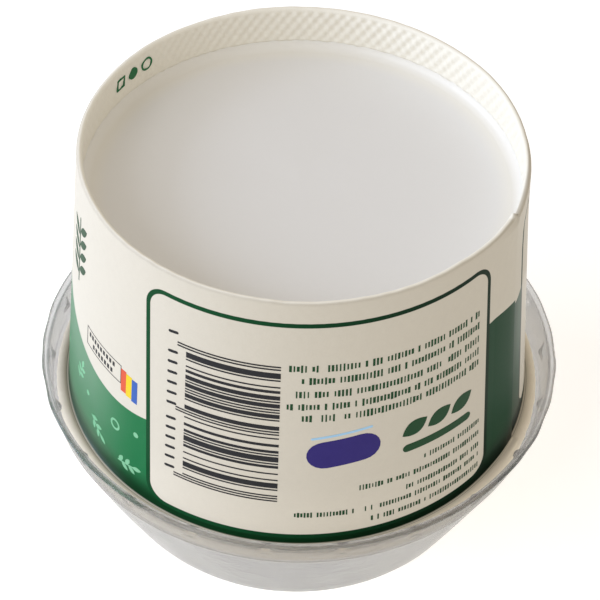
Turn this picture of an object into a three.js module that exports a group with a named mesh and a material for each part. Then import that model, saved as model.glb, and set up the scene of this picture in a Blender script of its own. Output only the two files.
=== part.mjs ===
// Paper ice-cream tub, shut by a clear thermoformed lid and standing upside down on that lid.
// Millimetres, +Z up. The origin is the centre of the lid's flat face, which rests on the table.
// Azimuth 0 is the tub's front, at -Y, and azimuth grows towards +X.
import * as THREE from 'three';

// Driving dimensions of the paper tub, as it stands: narrow base end up, mouth down.
const STANDING_HEIGHT = 82.8;
const BASE_RADIUS = 40.0;
const MOUTH_RADIUS = 44.9;
const WALL_LENGTH = 56.9;
const PAPER = 0.45;
const FOLD_THICKNESS = 1.1;
const FOLD_DEPTH = 8.0;
const CURL_RADIUS = 1.4;
const CURL_CENTRE_RADIUS = 45.9;
const CURL_CENTRE_HEIGHT = 24.6;

// Side seam of the paper blank: its outer flap ends at a cut edge down the wall. Widths are in degrees.
const SEAM_AZIMUTH = 66.5;
const SEAM_FLAP_WIDTH = 7;
const SEAM_STEP = 0.35;
const SEAM_EDGE_WIDTH = 0.5;

// Base disc, set back inside the folded end of the wall.
const DISC_DEPTH = 9.6;
const DISC_THICKNESS = 0.5;
const DISC_FILLET = 1.3;

// Clear lid: flat face, dome wall, skirt round the rolled rim, and a trim lip at its free edge.
const LID_THICKNESS = 0.45;
const LID_CORNER_RADIUS = 37.4;
const LID_FILLET = 3.0;
const SHOULDER_RADIUS = 48.3;
const SHOULDER_HEIGHT = 24.5;
const SHOULDER_FILLET = 0.9;
const LIP_INNER_RADIUS = 49.4;
const LIP_OUTER_RADIUS = 50.3;
const LIP_HEIGHT = 30.55;

// Snap lugs: small dimples pressed into the skirt just above the rolled rim.
const LUG_COUNT = 22;
const LUG_DEPTH = 1.3;
const LUG_HEIGHT = 28.2;
const LUG_HALF_HEIGHT = 1.5;

// Frozen filling: the shut tub is solid up to just inside its mouth.
const FILL_SURFACE_HEIGHT = 25.4;
const FILL_CROWN = 1.0;
const GAP = 0.3;

// Facets round the axis. The lid has six columns of facets for each lug.
const TUB_SEGMENTS = 72;
const LID_COLUMNS_PER_LUG = 6;
const LID_SEGMENTS = LUG_COUNT * LID_COLUMNS_PER_LUG;
const LUG_FIRST_COLUMN = LID_COLUMNS_PER_LUG - 2;

const WALL_SLOPE = (MOUTH_RADIUS - BASE_RADIUS) / WALL_LENGTH;

/** Outer radius of the tub's wall at a height above the table. */
function wallRadius(height) {
  return BASE_RADIUS + (STANDING_HEIGHT - height) * WALL_SLOPE;
}

/** Section points (radius, height) on an arc, from one angle to another in degrees. */
function arc(centreRadius, centreHeight, radius, fromDegrees, toDegrees, steps) {
  const points = [];
  for (let i = 0; i <= steps; i += 1) {
    const angle = THREE.MathUtils.degToRad(THREE.MathUtils.lerp(fromDegrees, toDegrees, i / steps));
    points.push(new THREE.Vector2(
      centreRadius + radius * Math.cos(angle),
      centreHeight + radius * Math.sin(angle),
    ));
  }
  return points;
}

/** Points that round the corner b of the path a-b-c with a fillet. */
function fillet(a, b, c, radius, steps) {
  const towardsA = a.clone().sub(b).normalize();
  const towardsC = c.clone().sub(b).normalize();
  const halfAngle = Math.acos(THREE.MathUtils.clamp(towardsA.dot(towardsC), -1, 1)) / 2;
  const start = b.clone().addScaledVector(towardsA, radius / Math.tan(halfAngle));
  const end = b.clone().addScaledVector(towardsC, radius / Math.tan(halfAngle));
  const inward = towardsA.clone().add(towardsC).normalize();
  const centre = b.clone().addScaledVector(inward, radius / Math.sin(halfAngle));
  const from = start.clone().sub(centre).angle();
  const to = end.clone().sub(centre).angle();
  const turn = THREE.MathUtils.euclideanModulo(to - from + Math.PI, 2 * Math.PI) - Math.PI;
  const degrees = THREE.MathUtils.radToDeg;
  return arc(centre.x, centre.y, radius, degrees(from), degrees(from + turn), steps);
}

/** Closed section of a sheet: the outer path from the axis to its free edge, then back along the inside. */
function sheetSection(outerPath, thickness) {
  const inner = outerPath.map((point, i) => {
    const before = outerPath[Math.max(i - 1, 0)];
    const after = outerPath[Math.min(i + 1, outerPath.length - 1)];
    const inwardBefore = new THREE.Vector2(before.y - point.y, point.x - before.x).normalize();
    const inwardAfter = new THREE.Vector2(point.y - after.y, after.x - point.x).normalize();
    const inward = inwardBefore.add(inwardAfter).normalize();
    const along = i === 0 ? after.clone().sub(point) : point.clone().sub(before);
    const square = new THREE.Vector2(-along.y, along.x).normalize();
    return point.clone().addScaledVector(inward, thickness / inward.dot(square));
  });
  inner[0].x = 0;
  return [...outerPath, ...inner.reverse()];
}

/** Solid of revolution about +Z from a section of (radius, height) points. */
function revolve(section, segments) {
  const geometry = new THREE.LatheGeometry(section, segments);
  geometry.rotateX(Math.PI / 2);
  return geometry;
}

/** Moves each vertex of a revolved solid, given by azimuth in degrees, radius and height. */
function reshape(geometry, change) {
  const position = geometry.getAttribute('position');
  for (let i = 0; i < position.count; i += 1) {
    const x = position.getX(i);
    const y = position.getY(i);
    const place = {
      azimuth: THREE.MathUtils.radToDeg(Math.atan2(x, -y)),
      radius: Math.hypot(x, y),
      height: position.getZ(i),
    };
    change(place);
    const angle = THREE.MathUtils.degToRad(place.azimuth);
    position.setXYZ(i, place.radius * Math.sin(angle), -place.radius * Math.cos(angle), place.height);
  }
  geometry.computeVertexNormals();
  return geometry;
}

/** Wall blank: cone wall, rolled rim at the mouth, and the end folded inwards round the base. */
function wallGeometry() {
  const halfFold = FOLD_THICKNESS / 2;
  const foldCentreHeight = STANDING_HEIGHT - halfFold;
  const foldEnd = STANDING_HEIGHT - FOLD_DEPTH;
  const curlMeetsWall = 135;
  const section = [
    ...arc(wallRadius(foldCentreHeight) - halfFold, foldCentreHeight, halfFold, 180, 0, 4),
    ...arc(CURL_CENTRE_RADIUS, CURL_CENTRE_HEIGHT, CURL_RADIUS, curlMeetsWall, -180, 12),
    new THREE.Vector2(wallRadius(foldEnd) - PAPER, foldEnd),
    new THREE.Vector2(wallRadius(foldEnd) - FOLD_THICKNESS, foldEnd),
  ];
  section.push(section[0].clone());
  section.reverse();
  const columnWidth = 360 / TUB_SEGMENTS;
  const edgeColumn = Math.round(SEAM_AZIMUTH / columnWidth);
  const rampColumn = Math.round((SEAM_AZIMUTH - SEAM_FLAP_WIDTH) / columnWidth);
  const curlTop = CURL_CENTRE_HEIGHT + CURL_RADIUS / 2;
  return reshape(revolve(section, TUB_SEGMENTS), (place) => {
    const column = Math.round(place.azimuth / columnWidth);
    const onFlap = column >= rampColumn && column <= edgeColumn;
    const depth = wallRadius(place.height) - place.radius;
    if (onFlap && place.height > curlTop && depth < PAPER / 2) {
      place.radius += SEAM_STEP;
    }
    if (onFlap && depth > (FOLD_THICKNESS + PAPER) / 2) {
      place.radius -= SEAM_STEP;
    }
    if (column === edgeColumn) {
      place.azimuth = SEAM_AZIMUTH;
    }
    if (column === edgeColumn + 1) {
      place.azimuth = SEAM_AZIMUTH + SEAM_EDGE_WIDTH;
    }
  });
}

/** Base disc: flat board whose edge turns up towards the folded end of the wall. */
function discGeometry() {
  const top = STANDING_HEIGHT - DISC_DEPTH;
  const underside = top - DISC_THICKNESS;
  const edgeHeight = STANDING_HEIGHT - FOLD_DEPTH - GAP;
  const edgeRadius = wallRadius(top) - PAPER - GAP;
  const turnUpRadius = wallRadius(edgeHeight) - FOLD_THICKNESS;
  const section = [
    new THREE.Vector2(0, underside),
    new THREE.Vector2(edgeRadius, underside),
    new THREE.Vector2(edgeRadius, edgeHeight),
    ...arc(turnUpRadius - DISC_FILLET, edgeHeight, DISC_FILLET, 0, -90, 5),
    new THREE.Vector2(0, top),
  ];
  return revolve(section, TUB_SEGMENTS);
}

/** Frozen filling: fills the tub from just under the base disc to just inside the mouth. */
function fillGeometry() {
  const top = STANDING_HEIGHT - DISC_DEPTH - DISC_THICKNESS - GAP;
  const inset = PAPER + GAP;
  const section = [
    new THREE.Vector2(0, FILL_SURFACE_HEIGHT - FILL_CROWN),
    new THREE.Vector2(MOUTH_RADIUS / 2, FILL_SURFACE_HEIGHT - FILL_CROWN * 0.75),
    new THREE.Vector2(wallRadius(FILL_SURFACE_HEIGHT) - inset, FILL_SURFACE_HEIGHT),
    new THREE.Vector2(wallRadius(top) - inset, top),
    new THREE.Vector2(0, top),
  ];
  return revolve(section, TUB_SEGMENTS);
}

/** Clear lid: one formed sheet of even thickness, with snap lugs pressed into its skirt. */
function lidGeometry() {
  const centre = new THREE.Vector2(0, 0);
  const corner = new THREE.Vector2(LID_CORNER_RADIUS, 0);
  const shoulder = new THREE.Vector2(SHOULDER_RADIUS, SHOULDER_HEIGHT);
  const lipCrease = new THREE.Vector2(LIP_INNER_RADIUS, LIP_HEIGHT);
  const skirtAt = (height) => {
    const t = (height - SHOULDER_HEIGHT) / (LIP_HEIGHT - SHOULDER_HEIGHT);
    return shoulder.clone().lerp(lipCrease, t);
  };
  const outerPath = [
    centre,
    ...fillet(centre, corner, shoulder, LID_FILLET, 4),
    ...fillet(corner, shoulder, lipCrease, SHOULDER_FILLET, 2),
    skirtAt(LUG_HEIGHT - LUG_HALF_HEIGHT),
    skirtAt(LUG_HEIGHT),
    skirtAt(LUG_HEIGHT + LUG_HALF_HEIGHT),
    lipCrease,
    new THREE.Vector2(LIP_OUTER_RADIUS, LIP_HEIGHT),
  ];
  const geometry = revolve(sheetSection(outerPath, LID_THICKNESS), LID_SEGMENTS);
  const columnWidth = 360 / LID_SEGMENTS;
  return reshape(geometry, (place) => {
    const column = Math.round(place.azimuth / columnWidth);
    const onLug = THREE.MathUtils.euclideanModulo(column, LID_COLUMNS_PER_LUG) === LUG_FIRST_COLUMN;
    const onSkirt = place.radius > SHOULDER_RADIUS - LID_THICKNESS;
    const levelWithLug = Math.abs(place.height - LUG_HEIGHT) < LUG_HALF_HEIGHT / 2;
    if (onSkirt && onLug && levelWithLug) {
      place.radius -= LUG_DEPTH;
    }
  });
}

/** Named mesh with its own finish. */
function piece(name, geometry, colour, roughness) {
  const material = new THREE.MeshStandardMaterial({ color: colour, roughness, metalness: 0 });
  const mesh = new THREE.Mesh(geometry, material);
  mesh.name = name;
  return mesh;
}

const lid = piece('lid', lidGeometry(), 0xd9dcde, 0.08);
lid.material.transparent = true;
lid.material.opacity = 0.35;

const tub = new THREE.Group();
tub.add(piece('cup_wall', wallGeometry(), 0xe6e2d8, 0.55));
tub.add(piece('base_disc', discGeometry(), 0xd8d8d6, 0.5));
tub.add(piece('filling', fillGeometry(), 0xf2e9d2, 0.6));
tub.add(lid);

export default tub;
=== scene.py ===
"""Paper ice-cream tub standing upside down on its clear lid.

The visual model in metres, +Z up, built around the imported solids. Azimuth 0 is
the front, at -Y, and azimuth grows towards +X. Sizes in the classes are in
millimetres and degrees.
"""

import logging
import math
from dataclasses import dataclass, field
from enum import Enum
from typing import Callable

import bmesh
import bpy
import numpy as np
from mathutils import Matrix, Vector


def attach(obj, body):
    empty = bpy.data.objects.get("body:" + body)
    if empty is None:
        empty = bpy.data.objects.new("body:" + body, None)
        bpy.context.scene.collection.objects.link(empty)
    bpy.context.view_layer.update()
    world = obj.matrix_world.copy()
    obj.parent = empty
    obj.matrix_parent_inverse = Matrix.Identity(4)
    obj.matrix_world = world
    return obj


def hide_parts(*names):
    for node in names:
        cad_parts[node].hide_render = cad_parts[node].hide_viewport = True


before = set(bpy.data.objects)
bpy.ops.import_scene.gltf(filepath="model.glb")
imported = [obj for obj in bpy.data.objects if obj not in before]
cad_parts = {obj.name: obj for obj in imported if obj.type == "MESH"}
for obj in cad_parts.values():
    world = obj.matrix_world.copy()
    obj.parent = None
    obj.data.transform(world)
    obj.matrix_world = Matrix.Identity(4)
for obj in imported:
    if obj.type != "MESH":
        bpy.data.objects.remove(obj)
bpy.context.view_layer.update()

LOG = logging.getLogger("tub")
MM = 0.001
BODY = "root"

Point2 = tuple[float, float]
Colour = tuple[float, float, float]
Value = float | int | bool | tuple[float, ...] | bpy.types.Material | bpy.types.NodeSocket
Reshape = Callable[[np.ndarray, np.ndarray, np.ndarray], tuple[np.ndarray, np.ndarray]]


@dataclass(frozen=True)
class TubSizes:
    """Sizes of the tub and its lid as they stand, mouth down."""

    standing_height: float = 82.8
    base_radius: float = 40.0
    mouth_radius: float = 44.9
    wall_length: float = 56.9
    paper: float = 0.45
    fold_thickness: float = 1.1
    fold_depth: float = 8.0
    curl_radius: float = 1.4
    curl_centre_radius: float = 45.9
    curl_centre_height: float = 24.6
    seam_azimuth: float = 66.5
    seam_ramp_start: float = 56.0
    seam_ramp_end: float = 66.3
    seam_step: float = 0.35
    seam_edge: float = 0.12
    disc_depth: float = 9.6
    disc_thickness: float = 0.5
    disc_fillet: float = 1.9
    lid_thickness: float = 0.45
    lid_corner_radius: float = 37.4
    lid_fillet: float = 3.0
    shoulder_radius: float = 48.3
    shoulder_height: float = 24.5
    shoulder_fillet: float = 0.9
    lip_inner_radius: float = 49.2
    lip_outer_radius: float = 50.1
    lip_height: float = 30.55
    fill_surface_height: float = 25.4
    gap: float = 0.3

    @property
    def slope(self) -> float:
        """Growth of the wall's radius for each millimetre down from the base end."""
        return (self.mouth_radius - self.base_radius) / self.wall_length

    @property
    def wall_foot(self) -> float:
        """Height at which the wall meets the rolled rim."""
        return self.standing_height - self.wall_length

    @property
    def millimetres_per_degree(self) -> float:
        """Arc length of one degree at the wall's middle height."""
        return math.radians((self.base_radius + self.mouth_radius) / 2)

    def wall_radius(self, height: float) -> float:
        """Outer radius of the wall at a height above the table."""
        return self.base_radius + (self.standing_height - height) * self.slope


class Wiring:
    """Adds nodes to one node tree and joins them."""

    def __init__(self, tree: bpy.types.NodeTree) -> None:
        """Keeps the tree that the nodes go into."""
        self.tree = tree

    def add(self, kind: str, **settings: object) -> bpy.types.Node:
        """Adds one node.

        Args:
            kind: Blender's type name of the node.
            **settings: Properties of the node and their values.

        Returns:
            The new node.
        """
        node = self.tree.nodes.new(kind)
        for name, value in settings.items():
            setattr(node, name, value)
        return node

    def feed(self, socket: bpy.types.NodeSocket, value: Value) -> None:
        """Links a socket's value into an input, or sets the input to a constant.

        Args:
            socket: The input.
            value: A socket of another node, or a constant.
        """
        if isinstance(value, bpy.types.NodeSocket):
            self.tree.links.new(value, socket)
        else:
            socket.default_value = value

    def maths(self, operation: str, *values: Value) -> bpy.types.NodeSocket:
        """Adds one Math node.

        Args:
            operation: Its operation.
            *values: Its inputs, in order.

        Returns:
            Its output.
        """
        node = self.add("ShaderNodeMath", operation=operation)
        for socket, value in zip(node.inputs, values):
            self.feed(socket, value)
        return node.outputs[0]

    def ramp(
        self, value: Value, low: Value, high: Value, start: Value = 0.0, end: Value = 1.0
    ) -> bpy.types.NodeSocket:
        """Smooth step of a value from one limit to another.

        Args:
            value: The value.
            low: Where the step starts.
            high: Where the step ends.
            start: Result below low.
            end: Result above high.

        Returns:
            The stepped value.
        """
        node = self.add("ShaderNodeMapRange", interpolation_type="SMOOTHSTEP")
        for name, part in zip(
            ("Value", "From Min", "From Max", "To Min", "To Max"),
            (value, low, high, start, end),
        ):
            self.feed(node.inputs[name], part)
        return node.outputs[0]

    def mix_colour(self, factor: Value, first: Value, second: Value) -> bpy.types.NodeSocket:
        """Mixes two colours.

        Args:
            factor: Share of the second colour.
            first: Colour at a factor of 0.
            second: Colour at a factor of 1.

        Returns:
            The mixed colour.
        """
        node = self.add("ShaderNodeMix", data_type="RGBA")
        colour_sockets = [s for s in node.inputs if s.type == "RGBA"]
        self.feed(node.inputs[0], factor)
        self.feed(colour_sockets[0], first)
        self.feed(colour_sockets[1], second)
        return next(s for s in node.outputs if s.type == "RGBA")

    def split(self, vector: Value) -> tuple[bpy.types.NodeSocket, ...]:
        """The three parts of a vector."""
        node = self.add("ShaderNodeSeparateXYZ")
        self.feed(node.inputs[0], vector)
        return tuple(node.outputs)

    def join(self, x: Value, y: Value, z: Value) -> bpy.types.NodeSocket:
        """A vector made of three parts."""
        node = self.add("ShaderNodeCombineXYZ")
        for socket, value in zip(node.inputs, (x, y, z)):
            self.feed(socket, value)
        return node.outputs[0]

    def radius(self, x: Value, y: Value) -> bpy.types.NodeSocket:
        """Distance from the axis in millimetres."""
        squares = self.maths("ADD", self.maths("MULTIPLY", x, x), self.maths("MULTIPLY", y, y))
        return self.maths("DIVIDE", self.maths("SQRT", squares), MM)

    def azimuth(self, x: Value, y: Value) -> bpy.types.NodeSocket:
        """Azimuth in radians of a place, from -Y towards +X."""
        return self.maths("ARCTAN2", x, self.maths("MULTIPLY", y, -1.0))


def opaque(colour: Colour) -> tuple[float, float, float, float]:
    """The colour with full alpha."""
    return (*colour, 1.0)


def new_group(
    name: str, kind: str, inputs: dict[str, tuple[str, Value]], outputs: dict[str, str]
) -> tuple[Wiring, bpy.types.Node, bpy.types.Node]:
    """Makes a node group with named inputs and outputs.

    Args:
        name: The group's name.
        kind: Its tree type.
        inputs: Each input's socket type and default value.
        outputs: Each output's socket type.

    Returns:
        The wiring of the group, its input node and its output node.
    """
    tree = bpy.data.node_groups.new(name, kind)
    for title, (socket_type, default) in inputs.items():
        socket = tree.interface.new_socket(name=title, in_out="INPUT", socket_type=socket_type)
        if default is not None:
            socket.default_value = default
    for title, socket_type in outputs.items():
        tree.interface.new_socket(name=title, in_out="OUTPUT", socket_type=socket_type)
    wiring = Wiring(tree)
    return wiring, wiring.add("NodeGroupInput"), wiring.add("NodeGroupOutput")


def mottle_group() -> bpy.types.NodeTree:
    """Builds the soft unevenness that all of the tub's materials share.

    Returns:
        A shader group that gives a shade near one and a relief height.
    """
    wiring, given, result = new_group(
        "soft_mottle",
        "ShaderNodeTree",
        {
            "Vector": ("NodeSocketVector", None),
            "Size": ("NodeSocketFloat", 2.0),
            "Amount": ("NodeSocketFloat", 0.02),
        },
        {"Shade": "NodeSocketFloat", "Height": "NodeSocketFloat"},
    )
    noise = wiring.add("ShaderNodeTexNoise")
    wiring.feed(noise.inputs["Vector"], given.outputs["Vector"])
    wiring.feed(noise.inputs["Scale"], wiring.maths("DIVIDE", 1.0 / MM, given.outputs["Size"]))
    wiring.feed(noise.inputs["Detail"], 3.0)
    wiring.feed(noise.inputs["Roughness"], 0.55)
    centred = wiring.maths("SUBTRACT", noise.outputs[0], 0.5)
    swing = wiring.maths("MULTIPLY", centred, given.outputs["Amount"])
    shade = wiring.maths("MULTIPLY_ADD", swing, 2.0, 1.0)
    wiring.feed(result.inputs["Shade"], shade)
    wiring.feed(result.inputs["Height"], noise.outputs[0])
    return wiring.tree


class Surface:
    """One material under construction, with its Principled node at hand."""

    def __init__(self, name: str) -> None:
        """Starts an empty material.

        Args:
            name: The material's name.
        """
        self.material = bpy.data.materials.new(name)
        self.material.use_nodes = True
        self.material.node_tree.nodes.clear()
        self.wiring = Wiring(self.material.node_tree)
        self.shader = self.wiring.add("ShaderNodeBsdfPrincipled")
        self.output = self.wiring.add("ShaderNodeOutputMaterial")
        self.wiring.feed(self.output.inputs["Surface"], self.shader.outputs[0])
        self.place = self.wiring.add("ShaderNodeTexCoord").outputs["Object"]

    def mottle(self, size: float, amount: float) -> bpy.types.Node:
        """Places the shared unevenness in this material.

        Args:
            size: Size of its patches in millimetres.
            amount: How far the shade swings.

        Returns:
            The group node.
        """
        tree = bpy.data.node_groups.get("soft_mottle") or mottle_group()
        node = self.wiring.add("ShaderNodeGroup", node_tree=tree)
        self.wiring.feed(node.inputs["Vector"], self.place)
        self.wiring.feed(node.inputs["Size"], size)
        self.wiring.feed(node.inputs["Amount"], amount)
        return node

    def shaded(self, colour: Value, shade: bpy.types.NodeSocket) -> bpy.types.NodeSocket:
        """Multiplies a colour by a shade near one."""
        node = self.wiring.add("ShaderNodeVectorMath", operation="SCALE")
        part = colour[:3] if isinstance(colour, tuple) else colour
        self.wiring.feed(node.inputs[0], part)
        self.wiring.feed(node.inputs["Scale"], shade)
        return node.outputs[0]

    def relief(self, height: Value, depth: float) -> None:
        """Feeds a low relief to the shader.

        Args:
            height: Height from 0 to 1.
            depth: Depth of the relief in millimetres.
        """
        bump = self.wiring.add("ShaderNodeBump")
        self.wiring.feed(bump.inputs["Strength"], 1.0)
        self.wiring.feed(bump.inputs["Distance"], depth * MM)
        self.wiring.feed(bump.inputs["Height"], height)
        self.wiring.feed(self.shader.inputs["Normal"], bump.outputs[0])


@dataclass(frozen=True)
class PanelPlace:
    """A rounded panel on the wall, in degrees along it and millimetres up it."""

    left_low: float
    left_high: float
    right_low: float
    right_high: float
    low: float = 27.7
    high: float = 78.1
    corner: float = 4.0

    def distance(
        self, wiring: Wiring, azimuth: Value, height: Value, per_degree: float
    ) -> bpy.types.NodeSocket:
        """Signed distance to the panel's outline.

        Args:
            wiring: Where the nodes go.
            azimuth: Azimuth of the shaded point in degrees.
            height: Height of the shaded point in millimetres.
            per_degree: Millimetres along the wall in one degree.

        Returns:
            The distance in millimetres, negative inside the panel.
        """
        span = self.high - self.low
        centre_low = (self.left_low + self.right_low) / 2
        centre_high = (self.left_high + self.right_high) / 2
        half_low = (self.right_low - self.left_low) / 2
        half_high = (self.right_high - self.left_high) / 2
        part = wiring.maths("DIVIDE", wiring.maths("SUBTRACT", height, self.low), span)
        centre = wiring.maths("MULTIPLY_ADD", part, centre_high - centre_low, centre_low)
        half = wiring.maths("MULTIPLY_ADD", part, half_high - half_low, half_low)
        off = wiring.maths("ABSOLUTE", wiring.maths("SUBTRACT", azimuth, centre))
        beside = wiring.maths("MULTIPLY", wiring.maths("SUBTRACT", off, half), per_degree)
        across = wiring.maths("ADD", beside, self.corner)
        middle = (self.low + self.high) / 2
        off_middle = wiring.maths("ABSOLUTE", wiring.maths("SUBTRACT", height, middle))
        along = wiring.maths("ADD", off_middle, self.corner - span / 2)
        across_out = wiring.maths("MAXIMUM", across, 0.0)
        along_out = wiring.maths("MAXIMUM", along, 0.0)
        squares = wiring.maths(
            "ADD",
            wiring.maths("MULTIPLY", across_out, across_out),
            wiring.maths("MULTIPLY", along_out, along_out),
        )
        outside = wiring.maths("SQRT", squares)
        inside = wiring.maths("MINIMUM", wiring.maths("MAXIMUM", across, along), 0.0)
        return wiring.maths("SUBTRACT", wiring.maths("ADD", outside, inside), self.corner)


@dataclass(frozen=True)
class BoardFinish:
    """Satin coated board, cream, with a green band and outlined panels printed on the wall."""

    sizes: TubSizes
    cream: Colour = (0.582, 0.541, 0.458)
    bare: Colour = (0.92, 0.885, 0.79)
    # Unprinted board of the rolled rim, painted darker and warmer than the bare board as shade
    # under the lid's lip.
    roll: Colour = (0.82, 0.745, 0.61)
    band_green: Colour = (0.013, 0.146, 0.050)
    # Painted shade: the band's green darkens to this towards the foot, under the lid's lip.
    shaded_foot_green: Colour = (0.001, 0.030, 0.007)
    line_green: Colour = (0.003, 0.055, 0.017)
    panels: tuple[PanelPlace, ...] = (
        PanelPlace(-36.5, -38.5, 53.0, 53.0),
        PanelPlace(73.6, 73.6, 164.5, 166.5),
    )
    band_middle: float = 54.7
    band_swing: float = 9.3
    band_trough: float = -48.0
    band_flare: float = 1.5
    seam_dip: float = 0.6
    seam_step: float = 1.7
    dip_before: float = 11.0
    dip_after: tuple[float, float] = (1.0, 10.0)
    line_width: float = 0.95
    # Painted light and shade on the green print by azimuth: darker towards the seam, brighter on
    # the left, plain again round the back.
    seam_side_ink_shade: float = 0.30
    left_ink_light: float = 1.1
    rear_ink_shade: float = 0.5
    ink_shade_reach: tuple[float, float] = (-30.0, 48.0)
    rear_shade_reach: tuple[float, float] = (80.0, 110.0)
    # A glossy coat only on the left and beside the seam puts a painted sheen where the lights
    # give one.
    left_rise: tuple[float, float] = (-96.0, -58.0)
    left_fall: tuple[float, float] = (-60.0, -40.0)
    sheen: float = 0.9
    seam_sheen: float = 0.5
    seam_sheen_reach: tuple[float, float] = (-4.0, 5.5)
    coat_roughness: float = 0.4
    # Painted shade: the rolled rim is darkened to this share on its left side.
    left_roll_shade: float = 0.68
    roll_shade_rise: tuple[float, float] = (-150.0, -110.0)
    roll_shade_fall: tuple[float, float] = (-85.0, -45.0)
    roughness: float = 0.40
    gloss: float = 0.05
    # Painted bounce light: the cream is lightened by this factor near the wall's foot.
    foot_bounce_light: float = 1.1
    foot_bounce_reach: tuple[float, float] = (3.0, 17.0)
    foot_shade_reach: tuple[float, float] = (0.8, 7.0)
    bare_foot: tuple[float, float] = (0.3, 0.6)
    patch_size: float = 1.6
    patch_swing: float = 0.025
    grain_size: float = 0.35
    grain_swing: float = 0.03
    grain_relief: float = 0.012
    edge_blur: float = 0.05

    def material(self) -> bpy.types.Material:
        """Builds the board's material.

        Returns:
            The material.
        """
        surface = Surface("printed_board")
        wiring = surface.wiring
        x, y, z = wiring.split(surface.place)
        azimuth = wiring.maths("DEGREES", wiring.azimuth(x, y))
        height = wiring.maths("DIVIDE", z, MM)
        on_wall = self._on_wall(wiring, x, y, height)
        mottle = surface.mottle(self.patch_size, self.patch_swing)
        grain = surface.mottle(self.grain_size, self.grain_swing)
        band = self._below_band(wiring, azimuth, height)
        # Band green darkened towards the wall's foot: painted shade under the lid's lip.
        up = self._above_foot(wiring, height, self.foot_shade_reach)
        green = wiring.mix_colour(up, opaque(self.shaded_foot_green), opaque(self.band_green))
        # Painted light and shade on the green band and the outlines.
        depth = self._painted_ink_light(wiring, azimuth)
        # Cream lightened near the foot, panels included: painted bounce light from the lid and
        # the rim.
        lift = self._above_foot(wiring, height, self.foot_bounce_reach, self.foot_bounce_light)
        cream = surface.shaded(opaque(self.cream), lift)
        colour = wiring.mix_colour(band, cream, surface.shaded(green, depth))
        line = surface.shaded(opaque(self.line_green), depth)
        for panel in self.panels:
            colour = self._with_panel(wiring, panel, azimuth, height, colour, cream, line)
        up = self._above_foot(wiring, height, self.bare_foot)
        # The rolled rim's colour and its darker left side are painted shade.
        roll = surface.shaded(opaque(self.roll), self._painted_roll_shade(wiring, azimuth))
        unprinted = wiring.mix_colour(up, roll, opaque(self.bare))
        colour = wiring.mix_colour(on_wall, unprinted, colour)
        colour = surface.shaded(colour, mottle.outputs["Shade"])
        colour = surface.shaded(colour, grain.outputs["Shade"])
        wiring.feed(surface.shader.inputs["Base Color"], colour)
        roughness = wiring.maths("MULTIPLY", mottle.outputs["Shade"], self.roughness)
        wiring.feed(surface.shader.inputs["Roughness"], roughness)
        # Coat weight masked to the left and the seam's side: painted sheen.
        coat = self._placed_sheen(wiring, azimuth)
        coat = wiring.maths("MULTIPLY", coat, wiring.maths("MULTIPLY", band, on_wall))
        wiring.feed(surface.shader.inputs["Coat Weight"], coat)
        surface.shader.inputs["Coat Roughness"].default_value = self.coat_roughness
        surface.shader.inputs["Specular IOR Level"].default_value = self.gloss
        surface.relief(grain.outputs["Height"], self.grain_relief)
        return surface.material

    def _above_foot(
        self, wiring: Wiring, height: Value, reach: tuple[float, float], start: float = 0.0
    ) -> bpy.types.NodeSocket:
        """Smooth step from a start to one, over a reach of heights above the wall's foot."""
        foot = self.sizes.wall_foot
        return wiring.ramp(height, foot + reach[0], foot + reach[1], start, 1.0)

    def _placed_sheen(self, wiring: Wiring, azimuth: Value) -> bpy.types.NodeSocket:
        """Weight of a glossy coat laid only on the left and beside the seam, where it gives a
        painted sheen.
        """
        seam = self.sizes.seam_azimuth
        start, end = self.seam_sheen_reach
        past_seam = wiring.ramp(azimuth, seam + start, seam + end)
        beside = wiring.maths("MULTIPLY", past_seam, self.seam_sheen)
        left = self._lit_left(wiring, azimuth)
        return wiring.maths("MULTIPLY_ADD", left, self.sheen, beside)

    def _on_wall(self, wiring: Wiring, x: Value, y: Value, height: Value) -> bpy.types.NodeSocket:
        """Mask of the wall's printed outer face, above the rolled rim."""
        radius = wiring.radius(x, y)
        drop = wiring.maths("SUBTRACT", self.sizes.standing_height, height)
        outside = wiring.maths(
            "MULTIPLY_ADD", drop, self.sizes.slope, self.sizes.base_radius
        )
        depth = wiring.maths("SUBTRACT", outside, radius)
        # The print fades over the outer half of the rim's crest, so the bare board's paler colour
        # there is painted light against the crest's shade.
        inner = wiring.ramp(depth, 0.05, 0.5, 1.0, 0.0)
        near_top = wiring.maths("GREATER_THAN", height, self.sizes.standing_height - 20.0)
        beyond = wiring.maths("MAXIMUM", wiring.ramp(depth, -0.5, -0.42), near_top)
        foot = self.sizes.wall_foot
        above_roll = wiring.ramp(height, foot - 0.15, foot + 0.05)
        return wiring.maths("MULTIPLY", wiring.maths("MULTIPLY", inner, beyond), above_roll)

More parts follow.
